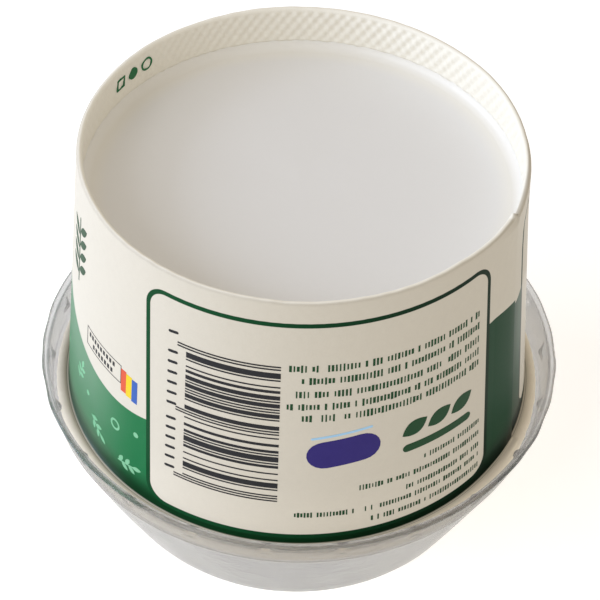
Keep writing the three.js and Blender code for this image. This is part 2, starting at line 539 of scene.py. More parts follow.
    def _below_band(self, wiring: Wiring, azimuth: Value, height: Value) -> bpy.types.NodeSocket:
        """Mask of the green band, whose upper edge swings up and down round the wall."""
        turned = wiring.maths("SUBTRACT", azimuth, self.band_trough)
        angle = wiring.maths("RADIANS", turned)
        wave = wiring.maths("COSINE", wiring.maths("MULTIPLY", angle, 2.0))
        flare = wiring.maths("COSINE", wiring.maths("MULTIPLY", angle, 4.0))
        middle = self.band_middle + self.band_flare
        edge = wiring.maths("MULTIPLY_ADD", wave, -self.band_swing, middle)
        edge = wiring.maths("MULTIPLY_ADD", flare, -self.band_flare, edge)
        seam = self.sizes.seam_azimuth
        start, end = self.dip_after
        rise = wiring.ramp(azimuth, seam - self.dip_before, seam)
        fall = wiring.ramp(azimuth, seam + start, seam + end, 1.0, 0.0)
        past_seam = wiring.maths("GREATER_THAN", azimuth, seam)
        dip = wiring.maths("MULTIPLY_ADD", past_seam, self.seam_step, self.seam_dip)
        dip = wiring.maths("MULTIPLY", dip, wiring.maths("MULTIPLY", rise, fall))
        edge = wiring.maths("SUBTRACT", edge, dip)
        over = wiring.maths("SUBTRACT", height, edge)
        return wiring.ramp(over, -self.edge_blur, self.edge_blur, 1.0, 0.0)

    def _lit_left(self, wiring: Wiring, azimuth: Value) -> bpy.types.NodeSocket:
        """Mask that is strongest on the wall's left side, where the key light falls."""
        rise = wiring.ramp(azimuth, *self.left_rise)
        fall = wiring.ramp(azimuth, *self.left_fall, 1.0, 0.0)
        return wiring.maths("MULTIPLY", rise, fall)

    def _painted_roll_shade(self, wiring: Wiring, azimuth: Value) -> bpy.types.NodeSocket:
        """Painted shade on the rolled rim, darker on its left side under the lid's lip."""
        before = wiring.ramp(azimuth, *self.roll_shade_rise, 1.0, self.left_roll_shade)
        after = wiring.ramp(azimuth, *self.roll_shade_fall, self.left_roll_shade, 1.0)
        return wiring.maths("MAXIMUM", before, after)

    def _painted_ink_light(self, wiring: Wiring, azimuth: Value) -> bpy.types.NodeSocket:
        """Painted light and shade on the green ink: lit on the left, shaded towards the seam,
        fading back to the plain ink round the back.
        """
        seam_side_shade = wiring.ramp(azimuth, *self.ink_shade_reach, 1.0, self.seam_side_ink_shade)
        left = self._lit_left(wiring, azimuth)
        left_light = wiring.maths("MULTIPLY_ADD", left, self.left_ink_light - 1.0, 1.0)
        seam_side_shade = wiring.maths("MULTIPLY", seam_side_shade, left_light)
        past_seam = wiring.ramp(azimuth, self.sizes.seam_azimuth, self.rear_shade_reach[0])
        lighter = wiring.ramp(azimuth, *self.rear_shade_reach, self.rear_ink_shade, 1.0)
        apart = wiring.maths("SUBTRACT", lighter, seam_side_shade)
        return wiring.maths("MULTIPLY_ADD", past_seam, apart, seam_side_shade)

    def _with_panel(
        self,
        wiring: Wiring,
        panel: PanelPlace,
        azimuth: Value,
        height: Value,
        colour: Value,
        cream: Value,
        ink: Value,
    ) -> bpy.types.NodeSocket:
        """Lays one cream panel over a colour, and its outline in an ink."""
        distance = panel.distance(
            wiring, azimuth, height, self.sizes.millimetres_per_degree
        )
        blur = self.edge_blur
        half = self.line_width / 2
        inside = wiring.ramp(distance, -blur, blur, 1.0, 0.0)
        colour = wiring.mix_colour(inside, colour, cream)
        off_line = wiring.maths("ABSOLUTE", distance)
        line = wiring.ramp(off_line, half - blur, half + blur, 1.0, 0.0)
        return wiring.mix_colour(line, colour, ink)


@dataclass(frozen=True)
class CoatedFinish:
    """Smooth coated board or frozen dessert: one colour, softly uneven, with an optional warmer
    tint towards the edge that is painted shade.
    """

    name: str
    colour: Colour
    roughness: float
    patch: float
    swing: float
    relief: float
    gloss: float = 0.5
    edge_shade_tint: Colour | None = None
    edge_shade_radii: tuple[float, float] = (34.5, 38.5)

    def material(self) -> bpy.types.Material:
        """Builds the material.

        Returns:
            The material.
        """
        surface = Surface(self.name)
        wiring = surface.wiring
        mottle = surface.mottle(self.patch, self.swing)
        fine = surface.mottle(self.patch / 9, self.swing)
        colour = opaque(self.colour)
        # Warmer towards the edge, where the fold shades the disc's turned-up rim: painted warm
        # shade, which also takes the blue out of the lamp's highlight on the right.
        if self.edge_shade_tint:
            x, y, _ = wiring.split(surface.place)
            outward = wiring.ramp(wiring.radius(x, y), *self.edge_shade_radii)
            colour = wiring.mix_colour(outward, colour, opaque(self.edge_shade_tint))
        colour = surface.shaded(colour, mottle.outputs["Shade"])
        colour = surface.shaded(colour, fine.outputs["Shade"])
        wiring.feed(surface.shader.inputs["Base Color"], colour)
        roughness = wiring.maths("MULTIPLY", fine.outputs["Shade"], self.roughness)
        wiring.feed(surface.shader.inputs["Roughness"], roughness)
        surface.shader.inputs["Specular IOR Level"].default_value = self.gloss
        surface.relief(fine.outputs["Height"], self.relief)
        return surface.material


@dataclass(frozen=True)
class ClearPlasticFinish:
    """Clear formed sheet, faintly grey, smudged and drawn; greyer to the camera than to light, as
    painted shade, and a little clearer at the lip.
    """

    sizes: TubSizes
    tint: Colour = (0.67, 0.67, 0.67)
    roughness: float = 0.14
    smudge: float = 0.4
    straight: float = 0.4
    through: Colour = (0.675, 0.67, 0.665)
    lip_through: Colour = (0.74, 0.74, 0.75)
    passed_on: Colour = (0.96, 0.96, 0.96)
    ior: float = 1.42
    smudge_size: float = 7.0
    drawn_size: float = 6.0
    drawn_swing: float = 0.1
    drawn_relief: float = 0.16
    below_lip: tuple[float, float] = (0.35, 0.15)

    def material(self) -> bpy.types.Material:
        """Builds the sheet's material.

        Returns:
            The material.
        """
        surface = Surface("clear_plastic")
        wiring = surface.wiring
        smudges = surface.mottle(self.smudge_size, self.smudge)
        drawn = surface.mottle(self.drawn_size, self.drawn_swing)
        surface.shader.inputs["Base Color"].default_value = opaque(self.tint)
        surface.shader.inputs["IOR"].default_value = self.ior
        surface.shader.inputs["Transmission Weight"].default_value = 1.0
        roughness = wiring.maths("MULTIPLY", smudges.outputs["Shade"], self.roughness)
        wiring.feed(surface.shader.inputs["Roughness"], roughness)
        surface.relief(drawn.outputs["Height"], self.drawn_relief)
        height = wiring.maths("DIVIDE", wiring.split(surface.place)[2], MM)
        lip = self.sizes.lip_height
        at_lip = wiring.ramp(height, lip - self.below_lip[0], lip - self.below_lip[1])
        # The camera sees the sheet through these greys while light passes almost clear: the grey
        # is partly the sheet's own faint tint and partly painted shade under the tub.
        through = wiring.mix_colour(at_lip, opaque(self.through), opaque(self.lip_through))
        unbent = wiring.add("ShaderNodeBsdfTransparent")
        wiring.feed(unbent.inputs[0], through)
        thin = self._mixed(wiring, self.straight, surface.shader.outputs[0], unbent.outputs[0])
        lets_light = wiring.add("ShaderNodeBsdfTransparent")
        lets_light.inputs[0].default_value = opaque(self.passed_on)
        path = wiring.add("ShaderNodeLightPath").outputs
        lighting = wiring.maths("MAXIMUM", path["Is Shadow Ray"], path["Is Diffuse Ray"])
        shader = self._mixed(wiring, lighting, thin, lets_light.outputs[0])
        wiring.feed(surface.output.inputs["Surface"], shader)
        return surface.material

    def _mixed(
        self, wiring: Wiring, share: Value, first: Value, second: Value
    ) -> bpy.types.NodeSocket:
        """Mixes two shaders by the share of the second."""
        mix = wiring.add("ShaderNodeMixShader")
        for socket, value in zip(mix.inputs, (share, first, second)):
            wiring.feed(socket, value)
        return mix.outputs[0]


class InkColour(Enum):
    """The inks printed on the tub, as name and linear colour."""

    DARK_GREEN = ("ink_dark_green", (0.010, 0.055, 0.018))
    LIGHT_GREEN = ("ink_light_green", (0.19, 0.45, 0.26))
    MID_GREEN = ("ink_mid_green", (0.02, 0.16, 0.06))
    BLACK = ("ink_black", (0.02, 0.02, 0.022))
    NAVY = ("ink_navy", (0.028, 0.018, 0.15))
    PALE_BLUE = ("ink_pale_blue", (0.33, 0.55, 0.75))
    RED = ("ink_red", (0.60, 0.085, 0.035))
    YELLOW = ("ink_yellow", (0.68, 0.50, 0.015))
    BLUE = ("ink_blue", (0.035, 0.10, 0.36))


@dataclass(frozen=True)
class InkFinish:
    """One ink, laid a little unevenly on the board."""

    colour: InkColour
    roughness: float = 0.42
    patch: float = 2.0
    swing: float = 0.06
    relief: float = 0.004
    gloss: float = 0.1

    def material(self) -> bpy.types.Material:
        """The ink's material, built once.

        Returns:
            The material.
        """
        name, colour = self.colour.value
        if name in bpy.data.materials:
            return bpy.data.materials[name]
        finish = CoatedFinish(
            name, colour, self.roughness, self.patch, self.swing, self.relief, self.gloss
        )
        return finish.material()


def arc_points(
    centre: Point2, radius: float, start: float, end: float, steps: int
) -> list[Point2]:
    """Section points on an arc.

    Args:
        centre: Its centre, as radius and height.
        radius: Its radius.
        start: Angle of its first point, in degrees.
        end: Angle of its last point, in degrees.
        steps: Number of chords.

    Returns:
        The points.
    """
    angles = np.radians(np.linspace(start, end, steps + 1))
    return [
        (centre[0] + radius * math.cos(a), centre[1] + radius * math.sin(a)) for a in angles
    ]


def fillet_points(a: Point2, b: Point2, c: Point2, radius: float, steps: int) -> list[Point2]:
    """Points that round the corner b of the path a-b-c.

    Args:
        a: Point before the corner.
        b: The corner.
        c: Point after the corner.
        radius: Radius of the rounding.
        steps: Number of chords.

    Returns:
        The points.
    """
    corner = Vector(b)
    to_a = (Vector(a) - corner).normalized()
    to_c = (Vector(c) - corner).normalized()
    half = math.acos(max(-1.0, min(1.0, to_a.dot(to_c)))) / 2
    start = corner + to_a * (radius / math.tan(half))
    end = corner + to_c * (radius / math.tan(half))
    centre = corner + (to_a + to_c).normalized() * (radius / math.sin(half))
    first = math.degrees(math.atan2(*(start - centre).yx))
    last = math.degrees(math.atan2(*(end - centre).yx))
    turn = (last - first + 180.0) % 360.0 - 180.0
    return arc_points(tuple(centre), radius, first, first + turn, steps)


def offset_path(path: list[Point2], distance: float) -> list[Point2]:
    """Moves an open path to its left by a distance.

    Args:
        path: The path, as radius and height.
        distance: How far each stretch moves.

    Returns:
        The moved path.
    """
    points = np.array(path)
    along = np.diff(points, axis=0)
    along /= np.linalg.norm(along, axis=1)[:, None]
    left = np.stack([-along[:, 1], along[:, 0]], axis=1)
    before = np.vstack([left[:1], left])
    after = np.vstack([left, left[-1:]])
    mitre = before + after
    mitre /= np.linalg.norm(mitre, axis=1)[:, None]
    reach = distance / np.sum(mitre * after, axis=1)
    return [tuple(p) for p in points + mitre * reach[:, None]]


def ripple(
    azimuth: np.ndarray, lowest: int, highest: int, size: float, seed: int
) -> np.ndarray:
    """Small irregular wave round the axis, the same at 0 and 360 degrees.

    Args:
        azimuth: Azimuths in degrees.
        lowest: Fewest waves in a turn.
        highest: Most waves in a turn.
        size: Its usual swing.
        seed: Seed of its random parts.

    Returns:
        The wave's value at each azimuth.
    """
    chance = np.random.default_rng(seed)
    orders = np.arange(lowest, highest + 1)
    phases = chance.uniform(0.0, 2 * np.pi, len(orders))
    weights = chance.uniform(0.3, 1.0, len(orders))
    weights *= size / np.sqrt(np.sum(weights**2) / 2)
    angle = np.radians(azimuth)
    value = np.zeros_like(angle)
    for order, phase, weight in zip(orders, phases, weights):
        value += weight * np.cos(order * angle + phase)
    return value


def place_object(name: str, mesh: bpy.types.Mesh) -> bpy.types.Object:
    """Puts a mesh into the scene as an object at the origin."""
    thing = bpy.data.objects.new(name, mesh)
    bpy.context.scene.collection.objects.link(thing)
    return thing


def lathe(
    name: str,
    section: list[Point2],
    azimuths: np.ndarray,
    closed: bool,
    reshape: Reshape,
    marks: dict[str, np.ndarray] | None = None,
) -> bpy.types.Object:
    """Turns a section about the tub's axis.

    Args:
        name: Name of the object.
        section: Radius and height of each row, counter-clockwise round the material.
        azimuths: Azimuth of each column in degrees.
        closed: True if the last row joins the first, false if both are on the axis.
        reshape: Gives each point's new radius and height from its azimuth, radius and height.
        marks: Value of each named attribute in each row.

    Returns:
        The object.
    """
    rows = np.array(section)
    shape = (len(azimuths), len(rows))
    radius = np.broadcast_to(rows[:, 0], shape).copy()
    height = np.broadcast_to(rows[:, 1], shape).copy()
    azimuth = np.broadcast_to(azimuths[:, None], shape)
    radius, height = reshape(azimuth, radius, height)
    angle = np.radians(azimuth)
    points = np.stack([radius * np.sin(angle), -radius * np.cos(angle), height], axis=-1)
    index = np.arange(points.shape[0] * points.shape[1]).reshape(shape)
    on_axis = rows[:, 0] == 0.0
    index[:, on_axis] = index[0, on_axis]
    following = np.roll(index, -1, axis=0)
    last = shape[1] if closed else shape[1] - 1
    faces = []
    for j in range(last):
        k = (j + 1) % shape[1]
        for quad in zip(index[:, j], following[:, j], following[:, k], index[:, k]):
            corners = list(dict.fromkeys(int(corner) for corner in quad))
            faces.append(corners)
    used = sorted({corner for face in faces for corner in face})
    new_index = {old: new for new, old in enumerate(used)}
    vertices = points.reshape(-1, 3)[used] * MM
    mesh = bpy.data.meshes.new(name)
    mesh.from_pydata(
        vertices.tolist(), [], [[new_index[corner] for corner in face] for face in faces]
    )
    for title, row_values in (marks or {}).items():
        values = np.broadcast_to(row_values, shape).reshape(-1)[used]
        attribute = mesh.attributes.new(title, "FLOAT", "POINT")
        attribute.data.foreach_set("value", values.astype(np.float32))
    mesh.shade_smooth()
    return place_object(name, mesh)


def grow(
    thing: bpy.types.Object, tree: bpy.types.NodeTree, inputs: dict[str, Value]
) -> bpy.types.Object:
    """Runs a Geometry Nodes tree on an object and keeps the result as a plain mesh.

    Args:
        thing: The object.
        tree: The tree.
        inputs: Values of the tree's inputs, by name.

    Returns:
        The same object.
    """
    modifier = thing.modifiers.new(tree.name, "NODES")
    modifier.node_group = tree
    for item in tree.interface.items_tree:
        if item.item_type == "SOCKET" and item.in_out == "INPUT" and item.name in inputs:
            modifier[item.identifier] = inputs[item.name]
    graph = bpy.context.evaluated_depsgraph_get()
    mesh = bpy.data.meshes.new_from_object(
        thing.evaluated_get(graph), preserve_all_data_layers=True, depsgraph=graph
    )
    thing.modifiers.remove(modifier)
    thing.data = mesh
    return thing


def shaping_tree(
    name: str, inputs: dict[str, tuple[str, Value]]
) -> tuple[Wiring, bpy.types.Node, Callable[[Value], bpy.types.NodeTree]]:
    """Starts a Geometry Nodes tree that takes geometry and a material.

    Args:
        name: Name of the tree.
        inputs: Its further inputs, with socket type and default value.

    Returns:
        The tree's wiring, its input node, and a function that ends the tree.
    """
    wiring, given, result = new_group(
        name,
        "GeometryNodeTree",
        {
            "Geometry": ("NodeSocketGeometry", None),
            **inputs,
            "Finish": ("NodeSocketMaterial", None),
        },
        {"Geometry": "NodeSocketGeometry"},
    )

    def finish(geometry: Value) -> bpy.types.NodeTree:
        """Ends the tree with real geometry that wears the material."""
        real = wiring.add("GeometryNodeRealizeInstances")
        wiring.feed(real.inputs["Geometry"], geometry)
        dressed = wiring.add("GeometryNodeSetMaterial")
        wiring.feed(dressed.inputs["Geometry"], real.outputs["Geometry"])
        wiring.feed(dressed.inputs["Material"], given.outputs["Finish"])
        wiring.feed(result.inputs["Geometry"], dressed.outputs["Geometry"])
        return wiring.tree

    return wiring, given, finish


def push_radially(
    wiring: Wiring, geometry: Value, x: Value, y: Value, distance: Value
) -> bpy.types.NodeSocket:
    """Moves points away from the axis.

    Args:
        wiring: Where the nodes go.
        geometry: The geometry.
        x: Each point's x.
        y: Each point's y.
        distance: How far each point moves outwards, in metres.

    Returns:
        The moved geometry.
    """
    outwards = wiring.add("ShaderNodeVectorMath", operation="NORMALIZE")
    wiring.feed(outwards.inputs[0], wiring.join(x, y, 0.0))
    push = wiring.add("ShaderNodeVectorMath", operation="SCALE")
    wiring.feed(push.inputs[0], outwards.outputs[0])
    wiring.feed(push.inputs["Scale"], distance)
    moved = wiring.add("GeometryNodeSetPosition")
    wiring.feed(moved.inputs["Geometry"], geometry)
    wiring.feed(moved.inputs["Offset"], push.outputs[0])
    return moved.outputs["Geometry"]


def marked(wiring: Wiring, name: str) -> bpy.types.NodeSocket:
    """The value of a named attribute."""
    node = wiring.add("GeometryNodeInputNamedAttribute", data_type="FLOAT")
    wiring.feed(node.inputs["Name"], name)
    return next(s for s in node.outputs if s.name == "Attribute")


def crimp_tree() -> bpy.types.NodeTree:
    """Builds the tree that presses staggered bumps into the folded end of the wall.

    Returns:
        The tree.
    """
    wiring, given, finish = shaping_tree(
        "crimped_fold",
        {
            "Bumps Round": ("NodeSocketFloat", 104.0),
            "Row Spacing": ("NodeSocketFloat", 1.75),
            "Depth": ("NodeSocketFloat", 0.1),
            "Deepest Azimuth": ("NodeSocketFloat", 150.0),
            "Least Share": ("NodeSocketFloat", 0.35),
        },
    )
    position = wiring.add("GeometryNodeInputPosition").outputs[0]
    x, y, z = wiring.split(position)
    deepest = wiring.maths("RADIANS", given.outputs["Deepest Azimuth"])
    apart = wiring.maths("SUBTRACT", wiring.azimuth(x, y), deepest)
    near = wiring.ramp(wiring.maths("COSINE", apart), -0.2, 0.7)
    spare = wiring.maths("SUBTRACT", 1.0, given.outputs["Least Share"])
    share = wiring.maths("MULTIPLY_ADD", near, spare, given.outputs["Least Share"])
    round_phase = wiring.maths("MULTIPLY", wiring.azimuth(x, y), given.outputs["Bumps Round"])
    row = wiring.maths("DIVIDE", wiring.maths("DIVIDE", z, MM), given.outputs["Row Spacing"])
    row_phase = wiring.maths("MULTIPLY", row, math.pi)
    bump = wiring.maths(
        "MULTIPLY", wiring.maths("COSINE", round_phase), wiring.maths("COSINE", row_phase)
    )
    depth = wiring.maths("MULTIPLY", given.outputs["Depth"], marked(wiring, "crimp"))
    depth = wiring.maths("MULTIPLY", depth, share)
    push = wiring.maths("MULTIPLY", wiring.maths("MULTIPLY", bump, depth), MM)
    return finish(push_radially(wiring, given.outputs["Geometry"], x, y, push))


def lug_tree() -> bpy.types.NodeTree:
    """Builds the tree that presses the snap lugs into the lid's skirt.

    Returns:
        The tree.
    """
    wiring, given, finish = shaping_tree(
        "snap_lugs",
        {
            "Count": ("NodeSocketFloat", 22.0),
            "First Azimuth": ("NodeSocketFloat", 0.0),
            "Height": ("NodeSocketFloat", 28.2),
            "Half Height": ("NodeSocketFloat", 1.4),
            "Half Width": ("NodeSocketFloat", 1.9),
            "Depth": ("NodeSocketFloat", 1.2),
        },
    )
    position = wiring.add("GeometryNodeInputPosition").outputs[0]
    x, y, z = wiring.split(position)
    pitch = wiring.maths("DIVIDE", 360.0, given.outputs["Count"])
    half_pitch = wiring.maths("DIVIDE", pitch, 2.0)
    azimuth = wiring.maths("DEGREES", wiring.azimuth(x, y))
    from_first = wiring.maths("SUBTRACT", azimuth, given.outputs["First Azimuth"])
    shifted = wiring.maths("ADD", from_first, half_pitch)
    off_lug = wiring.maths(
        "SUBTRACT", wiring.maths("FLOORED_MODULO", shifted, pitch), half_pitch
    )
    off_height = wiring.maths(
        "SUBTRACT", wiring.maths("DIVIDE", z, MM), given.outputs["Height"]
    )
    wide = wiring.maths("DIVIDE", off_lug, given.outputs["Half Width"])
    high = wiring.maths("DIVIDE", off_height, given.outputs["Half Height"])
    across = wiring.ramp(wiring.maths("ABSOLUTE", wide), 0.15, 1.0, 1.0, 0.0)
    along = wiring.ramp(wiring.maths("ABSOLUTE", high), 0.1, 1.0, 1.0, 0.0)
    press = wiring.maths("MULTIPLY", across, along)
    press = wiring.maths("MULTIPLY", press, marked(wiring, "skirt"))
    depth = wiring.maths("MULTIPLY", given.outputs["Depth"], -MM)
    push = wiring.maths("MULTIPLY", press, depth)
    return finish(push_radially(wiring, given.outputs["Geometry"], x, y, push))


CONE_INPUTS: dict[str, tuple[str, Value]] = {
    "Top Radius": ("NodeSocketFloat", 40.0),
    "Top Height": ("NodeSocketFloat", 82.8),
    "Slope": ("NodeSocketFloat", 0.086),
    "Millimetres Per Degree": ("NodeSocketFloat", 0.74),
    "Sunk": ("NodeSocketFloat", -0.05),
    "Proud": ("NodeSocketFloat", 0.035),
}


def lay_on_cone(wiring: Wiring, given: bpy.types.Node, geometry: Value) -> bpy.types.NodeSocket:
    """Rolls flat shapes round a cone.

    In the flat, x is millimetres along the wall from azimuth 0, y is millimetres
    above the table, and z is 0 at the sunk face and 1 at the proud one.

    Args:
        wiring: Where the nodes go.
        given: The tree's input node, with the cone's inputs.
        geometry: The flat geometry.

    Returns:
        The rolled geometry, in metres.
    """
    position = wiring.add("GeometryNodeInputPosition").outputs[0]
    x, y, z = wiring.split(position)
    degrees = wiring.maths("DIVIDE", x, given.outputs["Millimetres Per Degree"])
    angle = wiring.maths("RADIANS", degrees)
    drop = wiring.maths("SUBTRACT", given.outputs["Top Height"], y)
    surface = wiring.maths(
        "MULTIPLY_ADD", drop, given.outputs["Slope"], given.outputs["Top Radius"]
    )
    layer = wiring.maths("SUBTRACT", given.outputs["Proud"], given.outputs["Sunk"])
    layer = wiring.maths("MULTIPLY_ADD", z, layer, given.outputs["Sunk"])
    radius = wiring.maths("MULTIPLY", wiring.maths("ADD", surface, layer), MM)
    round_x = wiring.maths("MULTIPLY", radius, wiring.maths("SINE", angle))
    round_y = wiring.maths("MULTIPLY", radius, wiring.maths("COSINE", angle))
    place = wiring.join(
        round_x, wiring.maths("MULTIPLY", round_y, -1.0), wiring.maths("MULTIPLY", y, MM)
    )
    rolled = wiring.add("GeometryNodeSetPosition")
    wiring.feed(rolled.inputs["Geometry"], geometry)
    wiring.feed(rolled.inputs["Position"], place)
    return rolled.outputs["Geometry"]


def flat_print_tree() -> bpy.types.NodeTree:
    """Builds the tree that lays flat printed shapes on a cone.

    Returns:
        The tree.
    """
    wiring, given, finish = shaping_tree("laid_print", CONE_INPUTS)
    return finish(lay_on_cone(wiring, given, given.outputs["Geometry"]))


def random_value(
    wiring: Wiring, low: float, high: float, seed: Value, step: int
) -> bpy.types.NodeSocket:
    """A random number for each point.

    Args:
        wiring: Where the nodes go.
        low: Least value.
        high: Greatest value.
        seed: Seed of the tree.
        step: Added to the seed, so that each use differs.

    Returns:
        The number.
    """
    node = wiring.add("FunctionNodeRandomValue", data_type="FLOAT")
    floats = [s for s in node.inputs if s.type == "VALUE"]
    wiring.feed(floats[0], low)
    wiring.feed(floats[1], high)
    wiring.feed(node.inputs["Seed"], wiring.maths("ADD", seed, float(step)))
    return next(s for s in node.outputs if s.type == "VALUE")


def unit_block(wiring: Wiring, cuts: int) -> bpy.types.NodeSocket:
    """A block one wide and one high whose z runs from 0 to 1.

    Args:
        wiring: Where the nodes go.
        cuts: Number of columns that it is divided into.

    Returns:
        The block.
    """
    block = wiring.add("GeometryNodeMeshCube")
    wiring.feed(block.inputs["Vertices X"], cuts + 1)
    raised = wiring.add("GeometryNodeTransform")
    wiring.feed(raised.inputs["Geometry"], block.outputs["Mesh"])
    wiring.feed(raised.inputs["Translation"], (0.0, 0.0, 0.5))
    return raised.outputs["Geometry"]


def kept_points(wiring: Wiring, points: Value, drop: Value) -> bpy.types.NodeSocket:
    """The points that aren't dropped."""
    cut = wiring.add("GeometryNodeDeleteGeometry", domain="POINT")
    wiring.feed(cut.inputs["Geometry"], points)
    wiring.feed(cut.inputs["Selection"], drop)
    return cut.outputs["Geometry"]


def row_points(wiring: Wiring, geometry: Value, spacing: Value) -> bpy.types.NodeSocket:
    """Evenly spaced points along each edge of the geometry."""
    curve = wiring.add("GeometryNodeMeshToCurve")
    wiring.feed(curve.inputs["Mesh"], geometry)
    points = wiring.add("GeometryNodeCurveToPoints", mode="LENGTH")
    wiring.feed(points.inputs["Curve"], curve.outputs["Curve"])
    wiring.feed(points.inputs["Length"], spacing)
    return points.outputs["Points"]


def tick_rows_tree() -> bpy.types.NodeTree:
    """Builds the tree that fills lines with small plain marks, grouped like words.

    Returns:
        The tree.
    """
    wiring, given, finish = shaping_tree(
        "tick_rows",
        {
            "Tick Pitch": ("NodeSocketFloat", 0.8),
            "Tick Height": ("NodeSocketFloat", 1.4),
            "Gap Share": ("NodeSocketFloat", 0.15),
            "Seed": ("NodeSocketInt", 1),
            **CONE_INPUTS,
        },
    )
    seed = given.outputs["Seed"]
    points = row_points(wiring, given.outputs["Geometry"], given.outputs["Tick Pitch"])
    is_gap = wiring.maths(
        "LESS_THAN", random_value(wiring, 0.0, 1.0, seed, 0), given.outputs["Gap Share"]
    )
    points = kept_points(wiring, points, is_gap)
    ticks = wiring.add("GeometryNodeInstanceOnPoints")
    wiring.feed(ticks.inputs["Points"], points)
    wiring.feed(ticks.inputs["Instance"], unit_block(wiring, 1))
    width = wiring.maths(
        "MULTIPLY", random_value(wiring, 0.35, 0.75, seed, 1), given.outputs["Tick Pitch"]
    )
    height = wiring.maths(
        "MULTIPLY", random_value(wiring, 0.75, 1.2, seed, 2), given.outputs["Tick Height"]
    )
    wiring.feed(ticks.inputs["Scale"], wiring.join(width, height, 1.0))
    real = wiring.add("GeometryNodeRealizeInstances")
    wiring.feed(real.inputs["Geometry"], ticks.outputs["Instances"])
    return finish(lay_on_cone(wiring, given, real.outputs["Geometry"]))


def bar_tree() -> bpy.types.NodeTree:
    """Builds the tree that fills a stretch of wall with bars of random widths.

    Returns:
        The tree.
    """
    wiring, given, finish = shaping_tree(
        "bar_rows",
        {
            "Start": ("NodeSocketFloat", 0.0),
            "Low": ("NodeSocketFloat", 36.6),
            "Reach": ("NodeSocketFloat", 31.35),
            "Bar Length": ("NodeSocketFloat", 17.4),
            "Guard Length": ("NodeSocketFloat", 19.2),
            "Bars": ("NodeSocketInt", 30),
            "Seed": ("NodeSocketInt", 1),
            **CONE_INPUTS,
        },
    )
    seed = given.outputs["Seed"]
    row = wiring.add("GeometryNodeMeshLine")
    wiring.feed(row.inputs["Count"], given.outputs["Bars"])
    index = wiring.add("GeometryNodeInputIndex").outputs[0]
    middle = wiring.maths(
        "DIVIDE", wiring.maths("SUBTRACT", given.outputs["Bars"], 1.0), 2.0
    )
    off_middle = wiring.maths("ABSOLUTE", wiring.maths("SUBTRACT", index, middle))
    near_middle = wiring.maths("LESS_THAN", off_middle, 1.0)
    near_end = wiring.maths("GREATER_THAN", off_middle, wiring.maths("SUBTRACT", middle, 1.5))
    guard = wiring.maths("MAXIMUM", near_middle, near_end)
    dark = module_count(wiring, seed, 0, guard)
    light = module_count(wiring, seed, 1, guard)
    step = wiring.maths("ADD", dark, light)
    running = wiring.add("GeometryNodeAccumulateField", data_type="FLOAT", domain="POINT")
    wiring.feed(running.inputs[0], step)
    before = next(s for s in running.outputs if s.name == "Trailing")
    total = next(s for s in running.outputs if s.name == "Total")
    module = wiring.maths("DIVIDE", given.outputs["Reach"], wiring.maths("SUBTRACT", total, 1.0))
    centre = wiring.maths("MULTIPLY_ADD", dark, 0.5, before)
    height = wiring.maths("MULTIPLY_ADD", centre, module, given.outputs["Low"])
    placed = wiring.add("GeometryNodeSetPosition")
    wiring.feed(placed.inputs["Geometry"], row.outputs["Mesh"])
    wiring.feed(placed.inputs["Position"], wiring.join(given.outputs["Start"], height, 0.0))
    extra = wiring.maths("SUBTRACT", given.outputs["Guard Length"], given.outputs["Bar Length"])
    length = wiring.maths("MULTIPLY_ADD", guard, extra, given.outputs["Bar Length"])
    bars = wiring.add("GeometryNodeInstanceOnPoints")
    wiring.feed(bars.inputs["Points"], placed.outputs["Geometry"])
    wiring.feed(bars.inputs["Instance"], bar_block(wiring))
    width = wiring.maths("MULTIPLY", dark, module)
    wiring.feed(bars.inputs["Scale"], wiring.join(length, width, 1.0))
    real = wiring.add("GeometryNodeRealizeInstances")
    wiring.feed(real.inputs["Geometry"], bars.outputs["Instances"])
    return finish(lay_on_cone(wiring, given, real.outputs["Geometry"]))


def module_count(wiring: Wiring, seed: Value, step: int, guard: Value) -> bpy.types.NodeSocket:
    """Width of a bar or gap in modules: one to four, mostly one, and one in a guard.

    Args:
        wiring: Where the nodes go.
        seed: Seed of the tree.
        step: Added to the seed, so that bars and gaps differ.
        guard: One where the bar is a guard.

    Returns:
        The number of modules.
    """
    chance = random_value(wiring, 0.0, 1.0, seed, step)
    more = wiring.maths("MULTIPLY", wiring.maths("POWER", chance, 1.8), 3.6)
    not_guard = wiring.maths("SUBTRACT", 1.0, guard)
    free = wiring.maths("MULTIPLY", wiring.maths("FLOOR", more), not_guard)
    return wiring.maths("ADD", free, 1.0)


def bar_block(wiring: Wiring) -> bpy.types.NodeSocket:
    """A unit block that reaches from its anchor towards smaller azimuths."""
    moved = wiring.add("GeometryNodeTransform")
    wiring.feed(moved.inputs["Geometry"], unit_block(wiring, 16))
    wiring.feed(moved.inputs["Translation"], (-0.5, 0.0, 0.0))
    return moved.outputs["Geometry"]


